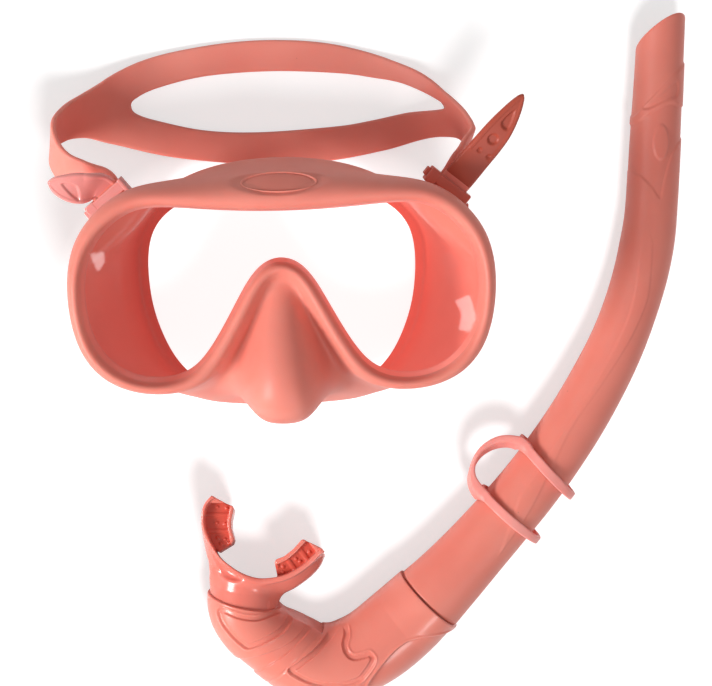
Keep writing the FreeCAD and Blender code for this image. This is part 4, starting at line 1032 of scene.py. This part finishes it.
# ------------------------------------------------------------------ mouthpiece
# Plan curves at rim height, x and y: both sides of the rim, and the far side of the shell
RIM_OUT = [
    (-32.4, -96.2), (-35.0, -98.9), (-36.7, -102.4), (-37.3, -106.8), (-37.0, -110.7),
    (-35.9, -114.4), (-34.4, -117.6), (-31.5, -122.5), (-28.9, -125.7), (-24.3, -130.0),
    (-19.0, -133.6), (-13.6, -135.7), (-7.8, -136.0), (-2.0, -134.9), (3.9, -132.3),
    (9.8, -128.0), (13.7, -124.1), (15.9, -122.3)]
RIM_IN = [
    (-30.6, -97.2), (-33.7, -99.5), (-35.2, -102.8), (-35.8, -106.8), (-35.4, -110.8),
    (-34.2, -114.8), (-32.8, -118.0), (-30.1, -122.9), (-27.6, -125.8), (-23.1, -129.3),
    (-19.0, -131.7), (-13.6, -133.5), (-7.8, -133.5), (-1.5, -132.2), (2.8, -130.2),
    (7.1, -127.4), (10.7, -124.0), (14.0, -120.6)]
SHELL = [
    (-32.6, -96.0), (-35.8, -99.6), (-37.4, -104.0), (-37.6, -109.7), (-36.9, -116.0),
    (-35.6, -123.0), (-34.2, -129.5), (-33.9, -135.0), (-30.0, -139.0), (-20.0, -142.0),
    (-10.0, -142.6), (-4.8, -141.2), (1.8, -138.5), (7.7, -134.6), (11.7, -131.1),
    (14.5, -127.5), (16.2, -123.5)]
BITE_SPACE = [(40.0, -120.6), (40.0, -60.0), (-30.6, -60.0)]   # closes RIM_IN on its open side
# Bite blocks: outline, line of the standing wall, and the two ends of the long axis
BITE_BLOCKS = [
    ([(-32.6, -96.2), (-30.0, -97.6), (-26.6, -99.5), (-23.6, -100.9), (-23.0, -102.0),
      (-24.2, -107.1), (-24.4, -110.5), (-23.3, -115.8), (-24.0, -117.6), (-30.1, -121.3),
      (-32.4, -119.6), (-35.0, -114.4), (-36.2, -108.0), (-35.6, -101.6)],
     [(-22.6, -101.4), (-24.3, -108.6), (-23.0, -116.9)], ((-28.0, -98.6), (-28.4, -119.0))),
    ([(-4.9, -133.2), (-6.0, -126.6), (-5.4, -125.3), (-1.7, -123.9), (2.2, -120.8),
      (6.0, -116.6), (7.0, -116.6), (15.0, -120.9), (14.9, -122.2), (11.0, -125.0),
      (6.6, -129.0), (2.0, -131.6), (-1.4, -133.0)],
     [(6.4, -116.2), (2.0, -121.0), (-1.7, -124.1), (-6.0, -126.0)],
     ((10.8, -118.8), (-5.4, -129.6))),
]
# Studs on the floor of a block: share of its length, distance across
STUDS = [(0.13, -2.2), (0.16, 2.0), (0.48, -2.4), (0.50, 1.2), (0.46, 3.2), (0.80, -2.2),
         (0.84, 1.0), (0.93, -0.8), (0.92, 3.0)]
RIBS = (0.30, 0.66)       # shares of the length
BITE_FLOOR_Z = 26.3
MOUTH_LEAN, MOUTH_RIM_Z = 0.325, 30.0
MOUTH_SPARE_ROWS = (7, 33)
NECK_AT, NECK_DIR = ELBOW[-1][:2], unit((0.12, 0.993))


def tray_plan(x, y, rim, outline, wall, ends):
    """Plan of the sunk floor of a bite block, and the lift of its ribs and studs."""
    (start_x, start_y), (end_x, end_y) = ends
    length = math.hypot(end_x - start_x, end_y - start_y)
    ux, uy = (end_x - start_x) / length, (end_y - start_y) / length
    along = (x - start_x) * ux + (y - start_y) * uy
    across = -(x - start_x) * uy + (y - start_y) * ux
    tray = np.maximum(np.maximum(outline + 0 - 0.9, 0.25 - rim), 1.9 - line_distance(x, y, wall))
    tray = np.maximum(tray, 0.9 - along)
    rib = np.minimum(*(np.abs(along - share * length) for share in RIBS)) - 0.8
    lift = 0.5 * ease(rib, 0.45, -0.3)
    for share, offset in STUDS:
        stud = np.hypot(along - share * length, across - offset)
        lift = np.maximum(lift, 0.6 * ease(stud, 0.95, 0.4))
    return tray, lift


def snorkel_mouthpiece():
    field = Field((-43, -158, 0.4), (21, -92, 34.6))
    x, y, z = field.x, field.y, field.z
    plan_x, plan_y = field.plan(*MOUTH_SPARE_ROWS)

    def leaned(plan):
        return field.lean(plan, MOUTH_LEAN, MOUTH_RIM_Z, MOUTH_SPARE_ROWS[0])

    # shield, wide at the bottom and as thin as the rim at the top
    rim_plan = outline_distance(plan_x, plan_y, between(RIM_OUT, RIM_IN, 6))
    rim = leaned(rim_plan)
    full = leaned(outline_distance(plan_x, plan_y, between(SHELL, RIM_IN, 6)))
    shell = full + (rim - full) * ease(z, 20.0, 30.0)
    shield = slab(shell, z, middle=19.0, half=12.0, edge=0.75)

    # oval neck from the elbow, with an oval bore
    out = (x - NECK_AT[0]) * NECK_DIR[0] + (y - NECK_AT[1]) * NECK_DIR[1]
    side = (x - NECK_AT[0]) * NECK_DIR[1] - (y - NECK_AT[1]) * NECK_DIR[0]

    def oval(stations, widths, heights, drop):
        wide = np.interp(out, stations, widths).astype(np.float32)
        tall = np.interp(out, stations, heights).astype(np.float32)
        radius = np.sqrt((side / wide) ** 2 + ((z - ELBOW_Z + drop) / tall) ** 2)
        return (radius - 1) * np.minimum(wide, tall)
    neck = oval((-5, 0.5, 6, 12), (15.3, 15.2, 14.2, 14.2), (14.8, 14.6, 13.5, 13.2), 0.0)
    neck = blend_max(blend_max(neck, -out - 4.6, 0.8), out - 11.0, 1.0)
    body = blend_min(neck, shield, 5.0)
    space = np.vstack([catmull(RIM_IN, 6), BITE_SPACE])
    hollow = leaned(outline_distance(plan_x, plan_y, space))
    body = blend_max(body, -(hollow + 0.05), 0.5)
    bore = oval((-8, 3, 16), (11.6, 10.4, 9.2), (11.0, 8.6, 5.6), 1.5)
    body = blend_max(body, -bore, 0.8)

    trays = []
    for outline, wall, ends in BITE_BLOCKS:
        block = outline_distance(plan_x, plan_y, outline)
        body = blend_min(body, slab(leaned(block), z, middle=18.6, half=10.8, edge=0.7), 0.5)
        tray, lift = tray_plan(plan_x, plan_y, rim_plan, block, wall, ends)
        sunk = np.maximum(leaned(tray), (BITE_FLOOR_Z + leaned(lift)) - z)
        body = blend_max(body, -sunk, 0.35)
        trays.append(tray)
    piece = field.mesh("snorkel_mouthpiece", body, [mouth_mat, shade_mat], smooth_steps=2)

    # painted shade: the sunk floors of the two blocks take the darker shade material
    me = piece.data
    centre = np.zeros(len(me.polygons) * 3, np.float32)
    me.polygons.foreach_get("center", centre)
    cx, cy, cz = (centre.reshape(-1, 3) * 1000.0).T
    at_rim_y = cy + MOUTH_LEAN * (MOUTH_RIM_Z - cz)
    i = np.clip(np.round((cx - field.low[0]) / VOXEL).astype(int), 0, plan_x.shape[0] - 1)
    j = np.round((at_rim_y - plan_y[0, 0]) / VOXEL).astype(int)
    j = np.clip(j, 0, plan_x.shape[1] - 1)
    painted_shade_faces = (np.minimum(*trays)[i, j] < 0.15) & (cz > 25.6) & (cz < 28.6)
    me.polygons.foreach_set("material_index", painted_shade_faces.astype(np.int32))
    return piece


hand_over(snorkel_mouthpiece(), "elbow_unit", "mouthpiece")

# ------------------------------------------------------------------ strap keeper
UPPER_BAND, LOWER_BAND = np.array((110.9, -90.6, 16.15)), np.array((97.0, -108.6, 16.35))
BAND_R, BAND_HALF_T = 13.95, 0.8   # inner radius, half thickness
TUBE_CLEARANCE_R = 13.9
# Loop between the bands, x and y: outer side and then back along the inner side
KEEPER_OUTER = [
    (106.0, -79.8), (102.8, -75.8), (97.2, -74.4), (92.3, -74.6), (88.0, -76.3), (84.0, -79.4),
    (81.0, -83.8), (79.4, -88.8), (79.3, -92.2), (80.3, -95.9), (82.9, -99.9), (86.0, -102.2)]
KEEPER_INNER = [
    (87.9, -100.0), (85.7, -97.0), (83.2, -93.8), (81.7, -90.6), (81.6, -87.2), (82.8, -83.8),
    (85.2, -80.8), (88.6, -78.6), (92.6, -77.3), (97.2, -77.2), (101.0, -78.8), (104.0, -82.0)]
KEEPER_LEAN, KEEPER_LEVEL, KEEPER_SPARE_ROWS = 0.56, 24.0, 51


def strap_keeper_loop():
    """Two bands round the tube, joined by one thin loop on their -x side."""
    field = Field((75.5, -126.5, 0.3), (131.5, -69.0, 34.6))
    x, y, z = field.x, field.y, field.z
    axis = unit(UPPER_BAND - LOWER_BAND)
    side_x, side_y = axis[1], -axis[0]
    bands = []
    for at, half, shear, move in ((UPPER_BAND, 2.2, 0.19, 2.0), (LOWER_BAND, 2.1, 0.084, -1.7)):
        along = (x - at[0]) * axis[0] + (y - at[1]) * axis[1] + (z - at[2]) * axis[2]
        side = (x - at[0]) * side_x + (y - at[1]) * side_y
        along = along + shear * side - move
        # the +x side of each band stands off the tube as a rounded tongue
        pulled = side * (1.0 - 0.185 * ease(side, 3.0, 14.0))
        radius = np.sqrt(pulled ** 2 + (z - at[2]) ** 2)
        skin = np.abs(radius - (BAND_R + BAND_HALF_T)) - BAND_HALF_T
        bands.append(slab(skin, along, middle=0.0, edge=0.55,
                          half=half * (1.0 - 0.15 * ease(side, 6.0, 16.0))))
    outline = np.vstack([catmull(KEEPER_OUTER, 8), catmull(KEEPER_INNER, 8)])
    plan = outline_distance(*field.plan(KEEPER_SPARE_ROWS, KEEPER_SPARE_ROWS), outline)
    leaned = field.lean(plan, KEEPER_LEAN, KEEPER_LEVEL, KEEPER_SPARE_ROWS)
    rise = 1.9 * ease(y, -94.0, -80.0)
    loop = slab(leaned - 0.3, z, middle=19.4 + rise, half=4.4, edge=1.0)
    body = blend_min(np.minimum(*bands), loop, 2.2)
    # keep the inside clear of the tube
    side = (x - LOWER_BAND[0]) * side_x + (y - LOWER_BAND[1]) * side_y
    clear = np.sqrt(side ** 2 + (z - LOWER_BAND[2]) ** 2) - TUBE_CLEARANCE_R
    body = blend_max(body, -clear, 0.3)
    return field.mesh("strap_keeper_loop", body, [keeper_mat], smooth_steps=3)


hand_over(strap_keeper_loop(), "keeper", "strap_keeper")


# ------------------------------------------------------------------ CAD nodes that stay
def wear(node, mat):
    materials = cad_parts[node].data.materials
    materials.clear()
    materials.append(mat)


# the -x buckle covers take the lighter glossy copy: partly real gloss, partly painted light on the
# lit side
for side, cover in (("right", plastic), ("left", gloss_and_painted_light)):
    for part, mat in (("buckle_base", plastic), ("buckle_frame", cover), ("release_button", cover),
                      ("swivel_stud", plastic), ("strap_roller", plastic), ("roller_pin", steel)):
        wear(side + "_" + part, mat)
wear("lens", glass)
wear("coupling_sleeve", white)

# ------------------------------------------------------------------ floor
FLOOR_HALF = 3.0
FLOOR_Z = -0.0003
# Oval of painted light under the lens, lifting the shade there, in metres: middle and half sizes
LENS_PATCH_Y, LENS_PATCH_HALF = -0.014, (0.088, 0.062)


def floor_look():
    """Glowing card to the camera, plain grey to every other ray. The table seen through the lens
    glows more, painted light that lifts the shade under the mask, so it looks as bright as the open
    table."""
    mat, tree = new_material("floor_look", empty=True)
    output = add_node(tree, "OutputMaterial")
    seen = add_node(tree, "AddShader")
    glow = add_node(tree, "Emission")
    card = add_node(tree, "BsdfDiffuse", {"Color": (0.50, 0.50, 0.50, 1)})
    plain = add_node(tree, "BsdfDiffuse", {"Color": (0.80, 0.80, 0.80, 1)})
    rays = add_node(tree, "LightPath")
    pick = add_node(tree, "MixShader", {
        "Fac": rays.outputs["Is Camera Ray"], 1: plain.outputs["BSDF"], 2: seen.outputs["Shader"]})
    geometry = add_node(tree, "NewGeometry")
    place = add_node(tree, "SeparateXYZ", {"Vector": geometry.outputs["Position"]})

    def calc(operation, a, b):
        return add_node(tree, "Math", {0: a, 1: b}, operation=operation).outputs[0]
    across = calc("DIVIDE", place.outputs["X"], LENS_PATCH_HALF[0])
    along = calc("DIVIDE", calc("ADD", place.outputs["Y"], -LENS_PATCH_Y), LENS_PATCH_HALF[1])
    square = calc("ADD", calc("MULTIPLY", across, across), calc("MULTIPLY", along, along))
    # painted light: the glow rises inside the oval under the lens
    strength = map_range(tree, calc("SQRT", square, 0.0), from_min=1.15, from_max=0.85,
                         to_min=0.61, to_max=0.92)
    set_inputs(tree, glow, {"Strength": strength})
    set_inputs(tree, seen, {0: glow.outputs["Emission"], 1: card.outputs["BSDF"]})
    set_inputs(tree, output, {"Surface": pick.outputs["Shader"]})
    return mat


def flat_object(name, corners):
    me = bpy.data.meshes.new(name)
    me.from_pydata(corners, [], [tuple(range(len(corners)))])
    flat = bpy.data.objects.new(name, me)
    bpy.context.scene.collection.objects.link(flat)
    return flat


floor = flat_object("floor", [(FLOOR_HALF * x, FLOOR_HALF * y, 0)
                              for x, y in ((-1, -1), (1, -1), (1, 1), (-1, 1))])
floor.location.z = FLOOR_Z
floor.data.materials.append(floor_look())

# ------------------------------------------------------------------ light
world = bpy.data.worlds.new("studio")
bpy.context.scene.world = world
world.use_nodes = True
set_inputs(world.node_tree, world.node_tree.nodes["Background"],
           {"Color": (1.0, 1.0, 1.0, 1), "Strength": 0.40})


def area(name, place, target, size, power):
    """Round area light, in metres and watts."""
    data = bpy.data.lights.new(name, "AREA")
    data.shape = "DISK"
    data.size = size
    data.energy = power
    light = bpy.data.objects.new(name, data)
    bpy.context.scene.collection.objects.link(light)
    light.location = place
    aim = Vector(target) - Vector(place)
    light.rotation_euler = aim.to_track_quat("-Z", "Y").to_euler()
    return light


key = area("key", (-1.05, -0.42, 0.85), target=(0.03, -0.03, 0.03), size=0.55, power=19.5)
fill = area("fill", (0.50, -0.95, 1.05), target=(0.03, -0.03, 0.02), size=0.35, power=3.0)
table_light = area("table", (0.26, -0.62, 1.45), target=(0.03, -0.03, 0.0), size=0.40, power=19.0)
only_floor = bpy.data.collections.new("only_floor")
only_floor.objects.link(floor)
not_floor = bpy.data.collections.new("not_floor")
not_floor.objects.link(floor)
not_floor.collection_objects[0].light_linking.link_state = "EXCLUDE"
for light in (key, fill):
    light.light_linking.receiver_collection = not_floor
table_light.light_linking.receiver_collection = only_floor

# ------------------------------------------------------------------ camera
CAMERA_AT = Vector((0.004058, 0.117090, 0.857218))
CAMERA_TILT = math.radians(10.1)   # from straight down, towards -y
CAMERA_YAW = math.radians(-1.3)


def add_camera():
    data = bpy.data.cameras.new("camera")
    data.lens = 100.0
    data.sensor_width = 36.0
    data.sensor_fit = "HORIZONTAL"
    data.shift_x = 0.0997191011
    data.clip_start = 0.05
    data.clip_end = 20.0
    camera = bpy.data.objects.new("camera", data)
    bpy.context.scene.collection.objects.link(camera)
    yaw = Matrix.Rotation(CAMERA_YAW, 3, "Z")
    right = yaw @ Vector((1, 0, 0))
    forward = yaw @ Vector((0, -math.sin(CAMERA_TILT), -math.cos(CAMERA_TILT)))
    up = yaw @ Vector((0, math.cos(CAMERA_TILT), -math.sin(CAMERA_TILT)))
    pose = Matrix((right, up, -forward)).transposed().to_4x4()
    pose.translation = CAMERA_AT
    camera.matrix_world = pose
    bpy.context.scene.camera = camera


add_camera()

# ------------------------------------------------------------------ lens reflections
# Small panels overhead that show only as reflections in the flat lens. The corners are the
# x and y of the reflection on the lens plane.
LENS_Z = 74.0
PANEL_Z = 0.95   # metres
PANELS = {
    "glow_a": [(69.3890, -6.4356), (75.4131, -4.1405), (78.1604, -13.9460),
               (75.3160, -19.5844), (70.9028, -18.6687), (72.1533, -12.1829)],
    "glow_b": [(-76.0814, 15.4432), (-70.4652, 16.1200), (-70.2218, 12.0903),
               (-73.1746, 8.1259), (-75.0124, 12.1990)],
}


def panel_look():
    mat, tree = new_material("panel_look", empty=True)
    output = add_node(tree, "OutputMaterial")
    glow = add_node(tree, "Emission", {"Strength": 9.0})
    set_inputs(tree, output, {"Surface": glow.outputs["Emission"]})
    return mat


def mirrored_up(x, y):
    """Where a camera ray that the lens reflects at x, y meets the panel height."""
    on_lens = Vector((x, y, LENS_Z)) * MM
    ray = on_lens - CAMERA_AT
    ray.z = -ray.z
    return tuple(on_lens + ray * ((PANEL_Z - on_lens.z) / ray.z))


panel_mat = panel_look()
for name, corners in PANELS.items():
    panel = flat_object(name, [mirrored_up(x, y) for x, y in corners])
    panel.data.materials.append(panel_mat)
    for rays in ("camera", "diffuse", "shadow", "transmission", "volume_scatter"):
        setattr(panel, "visible_" + rays, False)

# guards against a colour configuration that lacks these names
try:
    bpy.context.scene.view_settings.view_transform = "Standard"
    bpy.context.scene.view_settings.look = "None"
except TypeError:
    pass

bpy.context.view_layer.update()
